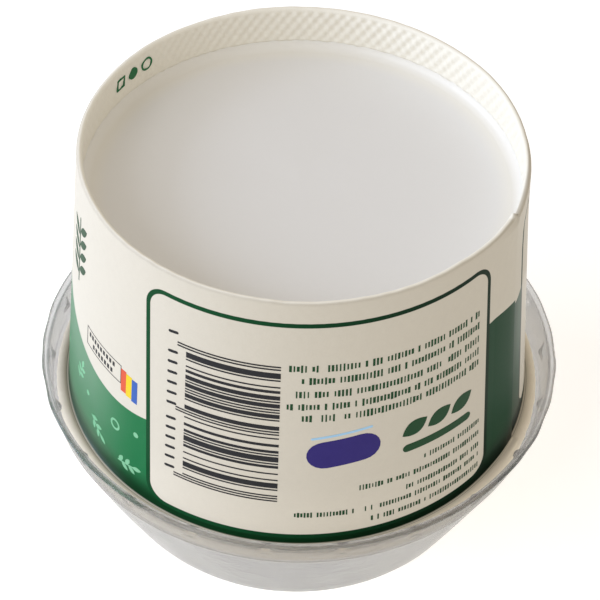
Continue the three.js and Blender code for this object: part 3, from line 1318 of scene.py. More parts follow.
@dataclass
class PaperWall:
    """The one-piece wall: cone, side seam, rolled rim and crimped fold."""

    sizes: TubSizes
    finish: BoardFinish
    bumps_round: int = 118
    columns_per_bump: int = 8
    crimp_row: float = 1.6
    crimp_depth: float = 0.2
    imprint: float = 0.16
    rim_wave: float = 0.05
    ragged_end: float = 0.07
    curl_wrinkle: float = 0.03
    rim_nicks: float = 0.02
    rim_dip: float = 1.2
    dip_before: float = 24.0
    dip_after: float = 11.0
    dip_depth: float = 5.0
    spur_height: float = 0.85
    spur_width: float = 0.9
    flare_before: float = 0.4
    flare_after: float = 0.85
    flare_height: float = 16.0
    flare_reach_before: float = 24.0
    flare_reach_after: float = 30.0

    def build(self) -> bpy.types.Object:
        """Builds the wall.

        Returns:
            The wall's object.
        """
        section, crimp = self._section()
        count = self.bumps_round * self.columns_per_bump
        even = np.arange(count) * 360.0 / count - 180.0
        seam = self.sizes.seam_azimuth
        azimuths = np.sort(np.append(even, [seam, seam + self.sizes.seam_edge]))
        wall = lathe(
            "paper_wall", section, azimuths, True, self._reshape, {"crimp": np.array(crimp)}
        )
        grow(
            wall,
            crimp_tree(),
            {
                "Bumps Round": float(self.bumps_round),
                "Row Spacing": self.crimp_row,
                "Depth": self.crimp_depth,
                "Finish": self.finish.material(),
            },
        )
        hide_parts("cup_wall")
        return wall

    def _section(self) -> tuple[list[Point2], list[float]]:
        """Section of the wall, and how strongly each of its rows is crimped."""
        s = self.sizes
        half = s.fold_thickness / 2
        top = s.standing_height - half
        fold_end = s.standing_height - s.fold_depth
        rows: list[tuple[float, float, float]] = []
        for height in np.linspace(s.wall_foot, fold_end - 0.8, 13):
            rows.append((s.wall_radius(height), height, 0.0))
        for height in np.linspace(fold_end, top, 17)[:-1]:
            fade = min(1.0, (top - height) / 1.2)
            rows.append((s.wall_radius(height), height, -self.imprint * fade))
        for radius, height in arc_points((s.wall_radius(top) - half, top), half, 0, 180, 9):
            rows.append((radius, height, 0.0))
        for height in np.linspace(top, fold_end, 26)[1:]:
            fade = min(1.0, (top - height) / 0.7, (height - fold_end) / 0.7)
            rows.append((s.wall_radius(height) - s.fold_thickness, height, fade))
        inner = s.paper
        rows.append((s.wall_radius(fold_end) - inner, fold_end, 0.0))
        for height in (fold_end - 0.5, 50.0, s.curl_centre_height + 1.0):
            rows.append((s.wall_radius(height) - inner, height, 0.0))
        centre = (s.curl_centre_radius, s.curl_centre_height)
        for radius, height in arc_points(centre, s.curl_radius, 180, 495, 24)[:-1]:
            rows.append((radius, height, 0.0))
        section = [(radius, height) for radius, height, _ in rows]
        return section, [crimp for _, _, crimp in rows]

    def _reshape(
        self, azimuth: np.ndarray, radius: np.ndarray, height: np.ndarray
    ) -> tuple[np.ndarray, np.ndarray]:
        """Adds the seam's step, the wavy rim, the ragged fold end and the curl's wrinkles."""
        s = self.sizes
        outside = s.base_radius + (s.standing_height - height) * s.slope
        depth = outside - radius
        ramp = (azimuth - s.seam_ramp_start) / (s.seam_ramp_end - s.seam_ramp_start)
        past = (azimuth - s.seam_azimuth) / s.seam_edge
        flap = np.clip(ramp, 0.0, 1.0) * np.clip(1.0 - past, 0.0, 1.0)
        outer = (depth < s.paper / 2) & (height > s.wall_foot - 0.1)
        inner = (depth > (s.fold_thickness + s.paper) / 2) & (height > s.wall_foot + 5.0)
        on_curl = height < s.wall_foot + 0.1
        below_rim = np.clip((s.standing_height - 0.6 - height) / 1.5, 0.0, 1.0)
        new_radius = radius + np.where(outer, s.seam_step * flap * below_rim, 0.0)
        new_radius -= np.where(inner, 0.12 * flap, 0.0)
        new_radius += self._flare(azimuth, height)
        wrinkle = ripple(azimuth, 40, 170, self.curl_wrinkle, 5)
        new_radius += np.where(on_curl & (depth < -1.0), wrinkle, 0.0)
        near_top = np.clip((height - s.standing_height + 1.2) / 1.2, 0.0, 1.0)
        fold_end = s.standing_height - s.fold_depth
        at_end = (np.abs(height - fold_end) < 0.05) & (depth > s.paper / 2)
        tip = s.seam_azimuth - self.spur_width / 2
        spur = np.clip(1.0 - np.abs(azimuth - tip) / self.spur_width, 0.0, 1.0)
        uneven = ripple(azimuth, 2, 14, self.rim_wave, 3)
        uneven += ripple(azimuth, 30, 80, self.rim_nicks, 9)
        new_height = height + near_top * uneven - self._dip(azimuth, height)
        new_height += near_top * self.spur_height * spur * (depth < s.fold_thickness * 0.8)
        new_height += np.where(at_end, ripple(azimuth, 30, 150, self.ragged_end, 4), 0.0)
        return new_radius, new_height

    def _dip(self, azimuth: np.ndarray, height: np.ndarray) -> np.ndarray:
        """How far the rim drops beside the seam."""
        past = azimuth - self.sizes.seam_azimuth
        share = np.clip(1.0 + past / self.dip_before, 0.0, 1.0)
        share *= np.clip(1.0 - past / self.dip_after, 0.0, 1.0)
        low = self.sizes.standing_height - self.dip_depth
        up = np.clip((height - low) / self.dip_depth, 0.0, 1.0)
        return self.rim_dip * share * up

    def _flare(self, azimuth: np.ndarray, height: np.ndarray) -> np.ndarray:
        """How far the folded end leans outwards beside the seam."""
        past = azimuth - self.sizes.seam_azimuth
        rise = np.clip(1.0 + past / self.flare_reach_before, 0.0, 1.0)
        before = self.flare_before * rise**2
        after = self.flare_after * np.clip(1.0 - past / self.flare_reach_after, 0.0, 1.0)
        blend = np.clip(past / self.sizes.seam_edge, 0.0, 1.0)
        low = self.sizes.standing_height - self.flare_height
        up = np.clip((height - low) / self.flare_height, 0.0, 1.0)
        return (before * (1.0 - blend) + after * blend) * up**2


@dataclass
class BaseDisc:
    """The smooth board disc set back inside the fold, with its edge turned up."""

    sizes: TubSizes
    finish: CoatedFinish
    columns: int = 360
    unevenness: float = 0.05

    def build(self) -> bpy.types.Object:
        """Builds the disc.

        Returns:
            The disc's object.
        """
        s = self.sizes
        top = s.standing_height - s.disc_depth
        underside = top - s.disc_thickness
        edge = s.standing_height - s.fold_depth + 0.25
        outer = s.wall_radius(top) - s.paper - s.gap
        turn_up = s.wall_radius(edge) - s.fold_thickness + 0.08
        fillet = s.disc_fillet
        drop = edge - top
        swing = math.degrees(math.acos(1.0 - drop / fillet))
        centre = (turn_up - fillet * math.sin(math.radians(swing)), top + fillet)
        section = [(0.0, underside), (outer, underside), (outer, edge)]
        section += arc_points(centre, fillet, swing - 90.0, -90.0, 12)
        flat = np.linspace(centre[0], 0.0, 22)[1:]
        section += [(float(radius), top) for radius in flat]
        azimuths = np.arange(self.columns) * 360.0 / self.columns - 180.0
        disc = lathe("base_disc_board", section, azimuths, False, self._reshape)
        disc.data.materials.append(self.finish.material())
        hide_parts("base_disc")
        return disc

    def _reshape(
        self, azimuth: np.ndarray, radius: np.ndarray, height: np.ndarray
    ) -> tuple[np.ndarray, np.ndarray]:
        """Lets the upper face wander a little, as board does."""
        s = self.sizes
        on_top = height > s.standing_height - s.disc_depth - 0.01
        share = np.clip(radius / s.base_radius, 0.0, 1.0)
        lift = ripple(azimuth, 1, 4, self.unevenness, 8) * share * (1.0 - share) * 4
        return radius, height + np.where(on_top, lift, 0.0)


@dataclass
class FrozenFilling:
    """The frozen filling, with a softly swirled face towards the lid."""

    sizes: TubSizes
    finish: CoatedFinish
    columns: int = 240
    crown: float = 1.0
    swirl: float = 0.18

    def build(self) -> bpy.types.Object:
        """Builds the filling.

        Returns:
            The filling's object.
        """
        s = self.sizes
        top = s.standing_height - s.disc_depth - s.disc_thickness - s.gap
        inset = s.paper + s.gap
        face = s.fill_surface_height
        edge = s.wall_radius(face) - inset
        shares = np.linspace(0.0, 1.0, 40)
        section = [
            (float(edge * share), float(face - self.crown * (1.0 - share**2)))
            for share in shares
        ]
        section += [(s.wall_radius(top) - inset, top), (0.0, top)]
        azimuths = np.arange(self.columns) * 360.0 / self.columns - 180.0
        filling = lathe("frozen_filling", section, azimuths, False, self._reshape)
        filling.data.materials.append(self.finish.material())
        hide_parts("filling")
        return filling

    def _reshape(
        self, azimuth: np.ndarray, radius: np.ndarray, height: np.ndarray
    ) -> tuple[np.ndarray, np.ndarray]:
        """Presses a shallow swirl into the lower face."""
        share = radius / self.sizes.mouth_radius
        turn = np.radians(azimuth) + share * 5.0
        lift = np.sin(turn * 3.0) * self.swirl * np.sin(np.pi * np.clip(share, 0.0, 1.0))
        lower = height < self.sizes.fill_surface_height - 0.01
        return radius, height + np.where(lower, lift, 0.0)


@dataclass
class ClearLid:
    """The clear formed lid: flat face, dome wall, skirt with snap lugs, and lip."""

    sizes: TubSizes
    finish: ClearPlasticFinish
    lugs: int = 22
    columns_per_lug: int = 24
    first_lug: float = -5.45
    lug_height: float = 28.2
    lug_depth: float = 0.85
    wall_wave: float = 0.11
    lip_wave: float = 0.06
    lip_shift: float = 0.4

    def build(self) -> bpy.types.Object:
        """Builds the lid.

        Returns:
            The lid's object.
        """
        section, skirt = self._section()
        count = self.lugs * self.columns_per_lug
        azimuths = np.arange(count) * 360.0 / count - 180.0
        lid = lathe(
            "clear_lid", section, azimuths, False, self._reshape, {"skirt": np.array(skirt)}
        )
        grow(
            lid,
            lug_tree(),
            {
                "Count": float(self.lugs),
                "First Azimuth": self.first_lug,
                "Height": self.lug_height,
                "Depth": self.lug_depth,
                "Finish": self.finish.material(),
            },
        )
        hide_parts("lid")
        return lid

    def _section(self) -> tuple[list[Point2], list[float]]:
        """Section of the sheet, and which of its rows are on the skirt."""
        s = self.sizes
        centre = (0.0, 0.0)
        corner = (s.lid_corner_radius, 0.0)
        shoulder = (s.shoulder_radius, s.shoulder_height)
        crease = (s.lip_inner_radius, s.lip_height)
        lip = (s.lip_outer_radius, s.lip_height)
        low_bend = fillet_points(centre, corner, shoulder, s.lid_fillet, 8)
        shoulder_bend = fillet_points(corner, shoulder, crease, s.shoulder_fillet, 5)
        lip_bend = fillet_points(shoulder, crease, lip, 0.25, 4)
        path = [centre, (15.0, 0.0), (28.0, 0.0), *low_bend]
        path += self._between(low_bend[-1], shoulder_bend[0], 8)
        path += shoulder_bend
        path += self._between(shoulder_bend[-1], lip_bend[0], 12)
        path += [*lip_bend, lip]
        back = offset_path(path, s.lid_thickness)
        back[0] = (0.0, back[0][1])
        section = path + back[::-1]
        on_skirt = [
            1.0 if s.shoulder_height + 1.4 < height < s.lip_height - 0.4 else 0.0
            for _, height in section
        ]
        return section, on_skirt

    def _between(self, start: Point2, end: Point2, steps: int) -> list[Point2]:
        """Points inside a straight stretch."""
        shares = np.linspace(0.0, 1.0, steps + 1)[1:-1]
        return [
            (
                float(start[0] + (end[0] - start[0]) * share),
                float(start[1] + (end[1] - start[1]) * share),
            )
            for share in shares
        ]

    def _reshape(
        self, azimuth: np.ndarray, radius: np.ndarray, height: np.ndarray
    ) -> tuple[np.ndarray, np.ndarray]:
        """Lets the wall and the lip run a little uneven, and the skirt lean to the right."""
        s = self.sizes
        up = np.clip(height / s.shoulder_height, 0.0, 1.0)
        on_dome = np.sin(np.pi * up) * (radius > s.lid_corner_radius - 4.0)
        wave = ripple(azimuth, 3, 26, self.wall_wave, 11) * on_dome
        at_lip = np.clip((radius - s.lip_inner_radius - 0.3) / 0.5, 0.0, 1.0)
        wave += ripple(azimuth, 4, 40, self.lip_wave, 12) * at_lip
        skirt = (height - s.shoulder_height) / (s.lip_height - s.shoulder_height)
        wave += self.lip_shift * np.sin(np.radians(azimuth)) * np.clip(skirt, 0.0, 1.0)
        return radius + wave, height


@dataclass
class FlatShapes:
    """Flat printed shapes of one ink, in millimetres along the wall and up it."""

    outlines: list[list[Point2]] = field(default_factory=list)
    rings: list[tuple[list[Point2], list[Point2]]] = field(default_factory=list)

    def leaf(self, centre: Point2, length: float, width: float, turn: float) -> None:
        """Adds a pointed leaf.

        Args:
            centre: Its middle.
            length: From tip to tip.
            width: Across its middle.
            turn: Its direction in degrees.
        """
        half = np.linspace(-1.0, 1.0, 13)
        side = (1.0 - half**2) * width / 2
        upper = [(float(x * length / 2), float(y)) for x, y in zip(half, side)]
        lower = [(x, -y) for x, y in upper[-2:0:-1]]
        self.outlines.append(self._turned(upper + lower, centre, turn))

    def pill(self, centre: Point2, length: float, width: float, turn: float = 0.0) -> None:
        """Adds a bar with round ends.

        Args:
            centre: Its middle.
            length: From end to end.
            width: Across it.
            turn: Its direction in degrees.
        """
        reach = max(length / 2 - width / 2, 0.0)
        right = arc_points((reach, 0.0), width / 2, -90.0, 90.0, 10)
        left = arc_points((-reach, 0.0), width / 2, 90.0, 270.0, 10)
        self.outlines.append(self._turned(right + left, centre, turn))

    def block(self, low: Point2, high: Point2) -> None:
        """Adds a rectangle between two corners."""
        self.outlines.append(
            [(low[0], low[1]), (high[0], low[1]), (high[0], high[1]), (low[0], high[1])]
        )

    def dot(self, centre: Point2, radius: float) -> None:
        """Adds a round dot."""
        self.outlines.append(arc_points(centre, radius, 0.0, 360.0, 20)[:-1])

    def ring(self, centre: Point2, radius: float, line: float) -> None:
        """Adds a round line."""
        steps = max(24, int(radius * 10))
        self.rings.append(
            (
                arc_points(centre, radius, 0.0, 360.0, steps)[:-1],
                arc_points(centre, radius - line, 0.0, 360.0, steps)[:-1],
            )
        )

    def frame(self, low: Point2, high: Point2, line: float) -> None:
        """Adds the outline of a rectangle."""
        outer = [(low[0], low[1]), (high[0], low[1]), (high[0], high[1]), (low[0], high[1])]
        inner = [
            (low[0] + line, low[1] + line),
            (high[0] - line, low[1] + line),
            (high[0] - line, high[1] - line),
            (low[0] + line, high[1] - line),
        ]
        self.rings.append((outer, inner))

    def _turned(self, points: list[Point2], centre: Point2, turn: float) -> list[Point2]:
        """Turns points about zero and moves them to a centre."""
        cosine = math.cos(math.radians(turn))
        sine = math.sin(math.radians(turn))
        return [
            (centre[0] + x * cosine - y * sine, centre[1] + x * sine + y * cosine)
            for x, y in points
        ]

    def to_object(self, name: str, spacing: float = 1.2) -> bpy.types.Object:
        """Makes the shapes closed prisms, cut finely enough to bend round the wall.

        Args:
            name: Name of the object.
            spacing: Greatest width of a facet in millimetres.

        Returns:
            The flat object.
        """
        work = bmesh.new()
        for outline in self.outlines:
            work.faces.new([work.verts.new((x, y, 0.0)) for x, y in outline])
        for outer, inner in self.rings:
            ring_out = [work.verts.new((x, y, 0.0)) for x, y in outer]
            ring_in = [work.verts.new((x, y, 0.0)) for x, y in inner]
            for i in range(len(outer)):
                j = (i + 1) % len(outer)
                work.faces.new([ring_out[i], ring_out[j], ring_in[j], ring_in[i]])
        reach = [vertex.co.x for vertex in work.verts]
        for cut in np.arange(min(reach) + spacing / 2, max(reach), spacing):
            bmesh.ops.bisect_plane(
                work,
                geom=work.verts[:] + work.edges[:] + work.faces[:],
                plane_co=(float(cut), 0.0, 0.0),
                plane_no=(1.0, 0.0, 0.0),
            )
        bmesh.ops.recalc_face_normals(work, faces=work.faces)
        for face in work.faces:
            if face.normal.z > 0.0:
                face.normal_flip()
        raised = bmesh.ops.extrude_face_region(work, geom=work.faces[:])
        for item in raised["geom"]:
            if isinstance(item, bmesh.types.BMVert):
                item.co.z = 1.0
        bmesh.ops.recalc_face_normals(work, faces=work.faces)
        mesh = bpy.data.meshes.new(name)
        work.to_mesh(mesh)
        work.free()
        return place_object(name, mesh)


@dataclass(frozen=True)
class TickBlock:
    """Rows of small marks: where each starts and ends, in degrees, and its height."""

    name: str
    rows: tuple[tuple[float, float, float], ...]
    pitch: float
    height: float
    seed: int


@dataclass
class WallPrint:
    """What is printed on the wall and its fold, apart from the fields of colour."""

    sizes: TubSizes
    sunk: float = 0.2
    proud: float = 0.035
    proud_on_fold: float = 0.16
    tilt: float = 8.0
    bar_seed: int = 7
    bars: int = 30
    bar_azimuth: float = -3.6
    bar_low: float = 36.4
    bar_reach: float = 32.5
    bar_length: float = 17.3
    guard_length: float = 19.1
    blocks: tuple[TickBlock, ...] = (
        TickBlock(
            "panel_upper_rows",
            (
                (49.0, -2.3, 68.6),
                (49.0, 1.6, 65.8),
                (49.0, 0.2, 62.7),
                (49.0, -1.8, 59.8),
                (49.0, 1.8, 57.1),
            ),
            pitch=0.66,
            height=1.4,
            seed=21,
        ),
        TickBlock(
            "panel_lower_rows",
            (
                (49.8, 32.5, 41.9),
                (49.8, 15.8, 38.9),
                (49.8, 27.7, 35.8),
                (49.8, 0.6, 33.2),
                (49.8, 18.9, 30.4),
            ),
            pitch=0.56,
            height=1.1,
            seed=22,
        ),
        TickBlock(
            "rear_panel_rows",
            (
                (160.0, 93.0, 73.0),
                (160.0, 96.0, 70.0),
                (160.0, 92.0, 67.0),
                (160.0, 99.0, 64.0),
                (160.0, 94.0, 61.0),
                (160.0, 110.0, 58.0),
                (160.0, 92.0, 51.0),
                (160.0, 95.0, 48.0),
                (160.0, 92.0, 45.0),
                (160.0, 94.0, 42.0),
                (160.0, 104.0, 39.0),
            ),
            pitch=0.80,
            height=1.3,
            seed=23,
        ),
    )

    def build(self) -> list[bpy.types.Object]:
        """Builds all of the print.

        Returns:
            The print's objects.
        """
        self.laid = flat_print_tree()
        things = [self._bars(), *self._tick_blocks()]
        things += [
            self._lay("bar_marks", self._bar_marks(), InkColour.BLACK),
            self._lay("navy_mark", self._navy_mark(), InkColour.NAVY),
            self._lay("navy_mark_line", self._navy_line(), InkColour.PALE_BLUE),
            self._lay("leaf_mark", self._leaf_mark(), InkColour.DARK_GREEN),
            self._lay("badge_line", self._badge_line(), InkColour.BLACK),
            self._lay("badge_red", self._badge_stripe(0), InkColour.RED),
            self._lay("badge_yellow", self._badge_stripe(1), InkColour.YELLOW),
            self._lay("badge_blue", self._badge_stripe(2), InkColour.BLUE),
            self._lay("band_leaves", self._band_leaves(), InkColour.LIGHT_GREEN),
            self._lay("main_face_sprig", self._main_sprig(), InkColour.DARK_GREEN),
            self._lay("fold_marks", self._fold_marks(), InkColour.MID_GREEN, True),
        ]
        return things

    def _cone(self, on_fold: bool = False) -> dict[str, Value]:
        """Inputs that lay print on the wall's outer face, or on the fold's inner face."""
        s = self.sizes
        inner = s.fold_thickness if on_fold else 0.0
        way = -1.0 if on_fold else 1.0
        return {
            "Top Radius": s.base_radius - inner,
            "Top Height": s.standing_height,
            "Slope": s.slope,
            "Millimetres Per Degree": s.millimetres_per_degree,
            "Sunk": -self.sunk * way,
            "Proud": (self.proud_on_fold if on_fold else self.proud) * way,
        }

    def _along(self, azimuth: float) -> float:
        """Millimetres along the wall to an azimuth."""
        return azimuth * self.sizes.millimetres_per_degree

    def _lay(
        self, name: str, shapes: FlatShapes, colour: InkColour, on_fold: bool = False
    ) -> bpy.types.Object:
        """Lays flat shapes on the tub in one ink."""
        thing = shapes.to_object(name)
        inputs = {**self._cone(on_fold), "Finish": InkFinish(colour).material()}
        grow(thing, self.laid, inputs)
        if on_fold:
            thing.data.flip_normals()
        return thing

    def _lines(self, name: str, lines: list[tuple[Point2, Point2]]) -> bpy.types.Object:
        """Makes an object of loose edges, one for each line."""
        mesh = bpy.data.meshes.new(name)
        points = [(x, y, 0.0) for line in lines for x, y in line]
        mesh.from_pydata(points, [(2 * i, 2 * i + 1) for i in range(len(lines))], [])
        return place_object(name, mesh)

    def _bars(self) -> bpy.types.Object:
        """The panel's field of bars."""
        thing = place_object("bar_field", bpy.data.meshes.new("bar_field"))
        return grow(
            thing,
            bar_tree(),
            {
                **self._cone(),
                "Start": self._along(self.bar_azimuth),
                "Low": self.bar_low,
                "Reach": self.bar_reach,
                "Bar Length": self.bar_length,
                "Guard Length": self.guard_length,
                "Bars": self.bars,
                "Seed": self.bar_seed,
                "Finish": InkFinish(InkColour.BLACK).material(),
            },
        )

    def _tick_blocks(self) -> list[bpy.types.Object]:
        """The blocks of rows of small marks."""
        tree = tick_rows_tree()
        things = []
        for block in self.blocks:
            lines = [
                ((self._along(start), height), (self._along(end), height))
                for start, end, height in block.rows
            ]
            inputs = {
                **self._cone(),
                "Tick Pitch": block.pitch,
                "Tick Height": block.height,
                "Seed": block.seed,
                "Finish": InkFinish(InkColour.DARK_GREEN).material(),
            }
            things.append(grow(self._lines(block.name, lines), tree, inputs))
        return things

    def _bar_marks(self) -> FlatShapes:
        """Small dashes beside the bars."""
        shapes = FlatShapes()
        x, pitch = self._along(-30.6), 2.42
        lower, upper, lone = np.arange(38.2, 51.0, pitch), np.arange(54.0, 67.0, pitch), 70.6
        for height in (*lower, *upper, lone):
            shapes.pill((x, float(height)), 2.1, 0.6, self.tilt)
        return shapes

    def _navy_mark(self) -> FlatShapes:
        """The navy oval beside the bars."""
        shapes = FlatShapes()
        shapes.pill((self._along(11.7), 48.6), 13.2, 6.4, self.tilt)
        return shapes

    def _navy_line(self) -> FlatShapes:
        """The pale line above the navy oval."""
        shapes = FlatShapes()
        shapes.pill((self._along(11.2), 52.9), 11.0, 0.5, self.tilt)
        return shapes

    def _leaf_mark(self) -> FlatShapes:
        """Three dark leaves over a bar."""
        shapes = FlatShapes()
        middle, apart, lean = 36.5, 7.0, 28.0
        for place in (-1, 0, 1):
            shapes.leaf((self._along(middle + place * apart), 50.2), 5.6, 3.4, lean)
        shapes.pill((self._along(middle), 45.6), 15.0, 1.8)
        return shapes

    def _badge_line(self) -> FlatShapes:
        """The thin frame of the badge, with dashes in it."""
        shapes = FlatShapes()
        shapes.frame((self._along(-63.0), 50.4), (self._along(-46.8), 54.8), 0.16)
        pitch, width, half_height = 1.05, 0.6, 0.5
        for height, *ends in ((53.5, -61.6, -49.3), (51.6, -59.6, -51.0)):
            start, end = (self._along(end) for end in ends)
            for x in np.arange(start, end, pitch):
                low = (float(x), height - half_height)
                shapes.block(low, (float(x) + width, height + half_height))
        return shapes

    def _badge_stripe(self, number: int) -> FlatShapes:
        """One of the badge's three coloured stripes."""
        shapes = FlatShapes()
        edges = (-46.8, -44.9, -42.9, -41.0)
        left, right = (self._along(edge) for edge in edges[number : number + 2])
        low, tall = 48.9 - number * 0.3, 5.3
        shapes.block((left, low), (right, low + tall))
        return shapes

    def _band_leaves(self) -> FlatShapes:
        """Light sprigs, rings and dots scattered on the green band."""
        shapes = FlatShapes()
        ring_radius, ring_line, dot_radius = 1.3, 0.45, 0.55
        sprigs = ((-66.5, 40.5, 70.0), (-56.5, 33.2, -35.0), (-44.0, 31.3, 12.0))
        for azimuth, height, turn in sprigs:
            self._small_sprig(shapes, (self._along(azimuth), height), turn)
        shapes.ring((self._along(-48.5), 39.0), ring_radius, ring_line)
        shapes.dot((self._along(-41.0), 40.6), 0.6)
        shapes.dot((self._along(-61.5), 38.3), dot_radius)
        chance = np.random.default_rng(14)
        for place, azimuth in enumerate((*np.arange(-178.0, -76.0, 8.5), 169.5, 176.0)):
            height, turn = chance.uniform((30.5, -90.0), (41.0, 90.0))
            centre = (self._along(float(azimuth)), float(height))
            if place % 3 == 2:
                shapes.ring(centre, ring_radius, ring_line)
                shapes.dot((centre[0] + 2.6, centre[1] + 1.8), dot_radius)
            else:
                self._small_sprig(shapes, centre, float(turn))
        return shapes

    def _small_sprig(self, shapes: FlatShapes, centre: Point2, turn: float) -> None:
        """Adds a stem with five leaves.

        Args:
            shapes: Where it goes.
            centre: Its middle.
            turn: The stem's direction in degrees.
        """
        along = math.radians(turn)
        shapes.pill(centre, 4.6, 0.28, turn)
        off_stem, lean = 0.75, 48.0
        for reach, side in ((-1.3, 1), (-0.5, -1), (0.5, 1), (1.3, -1)):
            x = centre[0] + reach * math.cos(along) - side * off_stem * math.sin(along)
            y = centre[1] + reach * math.sin(along) + side * off_stem * math.cos(along)
            shapes.leaf((x, y), 2.0, 0.95, turn + side * lean)
        tip = (centre[0] + 2.7 * math.cos(along), centre[1] + 2.7 * math.sin(along))
        shapes.leaf(tip, 2.2, 1.0, turn)

    def _main_sprig(self) -> FlatShapes:
        """Dark sprigs and a ring on the cream of the main face."""
        shapes = FlatShapes()
        for centre in (-71.0, -165.0):
            x = self._along(centre)
            shapes.pill((x, 68.0), 15.0, 0.5, 90.0)
            for i in range(4):
                height = 63.5 + i * 3.0
                shapes.leaf((x - 2.1, height), 4.4, 1.7, 145.0)
                shapes.leaf((x + 2.1, height + 1.2), 4.4, 1.7, 35.0)
        x, root, reach = self._along(-118.0), 61.5, 3.4
        shapes.ring((x, 63.5), 10.5, 0.7)
        for turn in (90.0, 30.0, 150.0):
            across = math.radians(turn)
            middle = (x + reach * math.cos(across), root + reach * math.sin(across))
            shapes.leaf(middle, 6.4, 2.8, turn)
        return shapes

    def _fold_marks(self) -> FlatShapes:
        """Three small marks on the fold's inner face."""
        shapes = FlatShapes()
        height, half, line = 79.2, 1.3, 0.35
        shapes.ring((self._along(-130.5), height), 1.5, line)
        shapes.dot((self._along(-125.0), height), half)
        x = self._along(-119.5)
        shapes.frame((x - half, height - half), (x + half, height + half), line)
        return shapes


@dataclass(frozen=True)
class SoftLamp:
    """A square lamp that faces the tub, placed by azimuth, elevation and distance in metres."""

    name: str
    azimuth: float
    elevation: float
    distance: float
    size: float
    power: float
    colour: Colour
    aim_height: float = 0.06

    def build(self) -> None:
        """Hangs the lamp."""
        lamp = bpy.data.lights.new(self.name, "AREA")
        lamp.energy = self.power
        lamp.shape = "SQUARE"
        lamp.size = self.size
        lamp.color = self.colour
        thing = bpy.data.objects.new(self.name, lamp)
        bpy.context.scene.collection.objects.link(thing)
        turn, up = math.radians(self.azimuth), math.radians(self.elevation)
        level = math.cos(up)
        away = Vector((math.sin(turn) * level, -math.cos(turn) * level, math.sin(up)))
        thing.location = away * self.distance + Vector((0.0, 0.0, self.aim_height))
        thing.rotation_euler = away.to_track_quat("Z", "Y").to_euler()


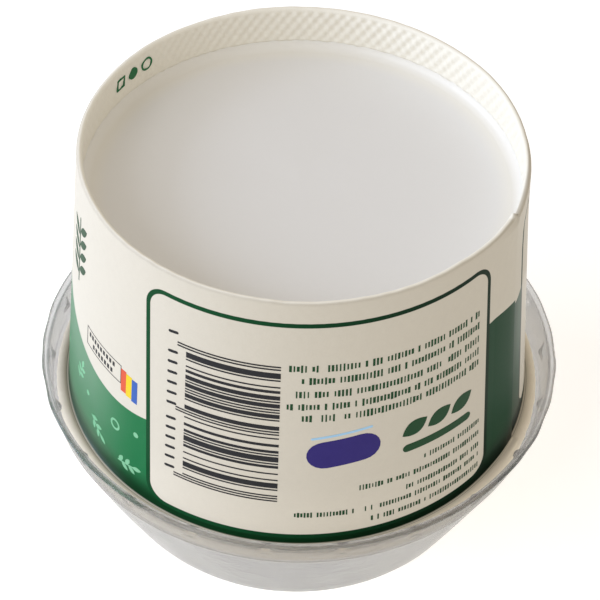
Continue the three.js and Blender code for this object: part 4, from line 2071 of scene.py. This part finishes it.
@dataclass
class Studio:
    """Pale floor, soft light from the left and the camera."""

    camera_place: tuple[float, float, float] = (0.0, -258.69, 306.39)
    camera_aim: tuple[float, float, float] = (0.27, 0.0, 43.15)
    camera_roll: float = -1.749
    camera_lens: float = 115.65
    camera_sensor: float = 36.0
    floor_reach: float = 3.0
    floor_drop: float = 0.0001
    floor_glow: float = 0.42
    world_colour: Colour = (1.0, 0.925, 0.82)
    world_strength: float = 0.61
    lamps: tuple[SoftLamp, ...] = (
        SoftLamp("key", -90.0, 15.0, 0.9, 0.55, 4.85, (0.78, 0.90, 1.15)),
        SoftLamp("fill", -50.0, 30.0, 0.9, 0.55, 2.4, (0.84, 0.93, 1.08)),
    )

    def build(self) -> None:
        """Sets up floor, light and camera."""
        self._floor()
        self._light()
        self._camera()
        bpy.context.scene.view_settings.view_transform = "Standard"

    def _floor(self) -> None:
        """Lays the floor just under the lid's flat face."""
        reach = self.floor_reach
        mesh = bpy.data.meshes.new("floor")
        corners = [(-reach, -reach), (reach, -reach), (reach, reach), (-reach, reach)]
        mesh.from_pydata([(x, y, -self.floor_drop) for x, y in corners], [], [(0, 1, 2, 3)])
        floor = place_object("floor", mesh)
        finish = CoatedFinish(
            "pale_floor",
            colour=(0.95, 0.95, 0.95),
            roughness=0.8,
            patch=40.0,
            swing=0.004,
            relief=0.002,
        )
        material = finish.material()
        shader = next(n for n in material.node_tree.nodes if n.type == "BSDF_PRINCIPLED")
        shader.inputs["Emission Color"].default_value = (1.0, 1.0, 1.0, 1.0)
        shader.inputs["Emission Strength"].default_value = self.floor_glow
        floor.data.materials.append(material)

    def _light(self) -> None:
        """Sets the world's light, which the camera sees as white, and hangs the lamps."""
        world = bpy.data.worlds.new("studio")
        world.use_nodes = True
        world.node_tree.nodes.clear()
        wiring = Wiring(world.node_tree)
        light, seen = (wiring.add("ShaderNodeBackground") for _ in range(2))
        light.inputs["Color"].default_value = opaque(self.world_colour)
        light.inputs["Strength"].default_value = self.world_strength
        seen.inputs["Color"].default_value = (1.0, 1.0, 1.0, 1.0)
        path = wiring.add("ShaderNodeLightPath").outputs
        mix = wiring.add("ShaderNodeMixShader")
        for socket, value in zip(
            mix.inputs, (path["Is Camera Ray"], light.outputs[0], seen.outputs[0])
        ):
            wiring.feed(socket, value)
        output = wiring.add("ShaderNodeOutputWorld")
        wiring.feed(output.inputs["Surface"], mix.outputs[0])
        bpy.context.scene.world = world
        for lamp in self.lamps:
            lamp.build()

    def _camera(self) -> None:
        """Places the camera."""
        lens = bpy.data.cameras.new("camera")
        lens.lens = self.camera_lens
        lens.sensor_width = self.camera_sensor
        camera = bpy.data.objects.new("camera", lens)
        bpy.context.scene.collection.objects.link(camera)
        place = Vector(self.camera_place) * MM
        view = (Vector(self.camera_aim) * MM - place).normalized()
        level_right = view.cross(Vector((0.0, 0.0, 1.0))).normalized()
        level_up = level_right.cross(view)
        roll = math.radians(self.camera_roll)
        up = level_up * math.cos(roll) + level_right * math.sin(roll)
        right = view.cross(up)
        turn = Matrix((right, up, -view)).transposed().to_4x4()
        camera.matrix_world = Matrix.Translation(place) @ turn
        bpy.context.scene.camera = camera


def report(thing: bpy.types.Object) -> None:
    """Rides a finished piece on the body and logs it.

    Args:
        thing: The piece.
    """
    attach(thing, BODY)
    LOG.info("%s: %d faces", thing.name, len(thing.data.polygons))


def main() -> None:
    """Builds the tub, its print, its lid and the studio."""
    logging.basicConfig(level=logging.INFO, format="%(name)s %(message)s")
    sizes = TubSizes()
    wall = PaperWall(sizes, BoardFinish(sizes))
    report(wall.build())
    disc_finish = CoatedFinish(
        "coated_board",
        colour=(0.825, 0.82, 0.812),
        roughness=0.38,
        patch=9.0,
        swing=0.008,
        relief=0.004,
        edge_shade_tint=(0.865, 0.845, 0.795),
    )
    report(BaseDisc(sizes, disc_finish).build())
    frozen = CoatedFinish(
        "frozen_filling",
        colour=(0.80, 0.73, 0.58),
        roughness=0.55,
        patch=6.0,
        swing=0.03,
        relief=0.05,
    )
    report(FrozenFilling(sizes, frozen).build())
    report(ClearLid(sizes, ClearPlasticFinish(sizes)).build())
    for thing in WallPrint(sizes).build():
        report(thing)
    Studio().build()


if __name__ == "__main__":
    main()
